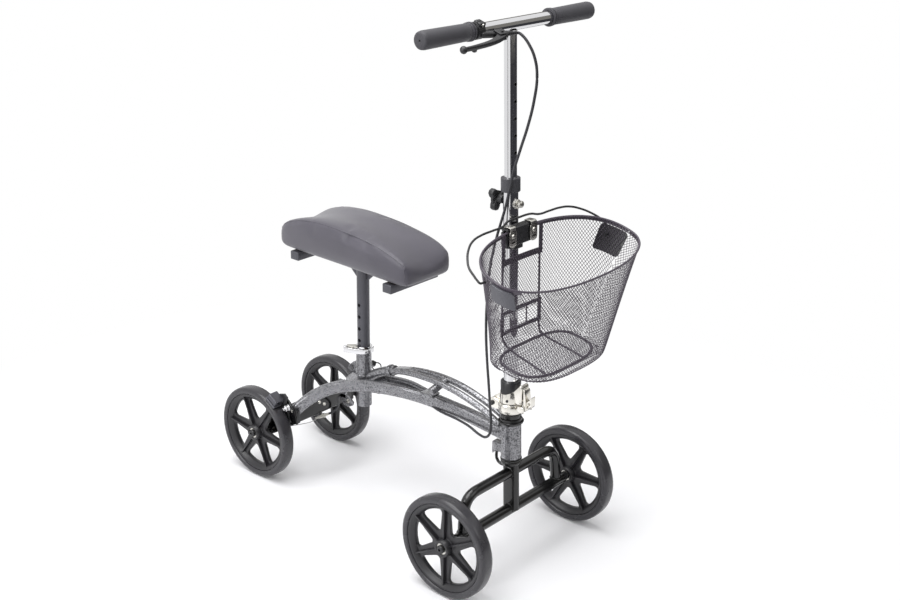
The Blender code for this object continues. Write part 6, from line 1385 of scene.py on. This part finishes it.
def makeWorld(ambient):
    world = bpy.context.scene.world = bpy.data.worlds.new("studio")
    tree = emptyTree(world)
    light, bright = (addNode(tree, "Background", {"Color": hexColor("#ffffff"), "Strength": strength}).outputs[0]
                     for strength in (ambient, 1.0))
    shown = addNode(tree, "MixShader", None, {0: seenDirectly(tree), 1: light, 2: bright})
    addNode(tree, "OutputWorld", None, {"Surface": shown.outputs[0]})


def makePaper(code):
    # White paper takes the object's shadow near it and fades to plain white further out
    floor = newObject("floor", rawMesh(gridOf(1, 1)))
    floor.data.transform(Matrix.Scale(80, 4))
    material, tree, shader, place = startMaterial("paperSweep", code, 0.9, {"Specular IOR Level": 0.0})
    reach = addNode(tree, "VectorMath", {"operation": "LENGTH"}, {0: place})
    far = addNode(tree, "MapRange", {"From Min": 0.35, "From Max": 1.25}, {"Value": reach.outputs["Value"]})
    share = addNode(tree, "Math", {"operation": "MULTIPLY"}, {0: far.outputs["Result"], 1: seenDirectly(tree)})
    white = addNode(tree, "Emission", {"Color": hexColor("#ffffff"), "Strength": 1.0})
    mixed = addNode(tree, "MixShader", None, {0: share.outputs[0], 1: shader.outputs[0], 2: white.outputs[0]})
    tree.links.new(mixed.outputs[0], tree.nodes["Material Output"].inputs["Surface"])
    floor.data.materials.append(material)
    floor.location.z = -0.0004


def makeStudio():
    look = {"ambient": 0.5, "paper": "#fbfbfd", "paperR": 1.75, "roomR": 9.0, "roomTop": 5.6, "cardZ": 0.0006}
    makeWorld(look["ambient"])
    makePaper(look["paper"])

    # Painted reflections of a bare studio floor and a dim room beyond the paper, seen only in chrome and gloss, which
    # give chrome its dark bands
    flat = [(look["paperR"], look["cardZ"]), (look["roomR"], look["cardZ"])]
    addReflectionCard("paintedReflectionFloor", "#3c3c40", flat, -143, 43)
    addReflectionCard("paintedReflectionRoom", "#86847f", [(look["roomR"], 0.0), (look["roomR"], look["roomTop"])], -143, 43)
    # A dark flag seen only in chrome and gloss: a painted reflection
    addReflectionCard("paintedReflectionFlag", "#303034", flat, 171, 179)

    addLamp("overhead", (-0.5, 0.1, 2.6), (0, 0, 0.3), (2.2, 2.2), 62)
    addLamp("keySide", (-2.5, 0.5, 1.5), (0, 0, 0.4), (1.2, 1.6), 26)
    addLamp("fill", (0.9, -2.8, 1.9), (0, 0, 0.4), (1.2, 1.2), 6)
    scene = bpy.context.scene
    scene.view_settings.view_transform = "Standard"
    scene.view_settings.look = "None"


makeCamera()
makeStudio()
print("camera and studio made")
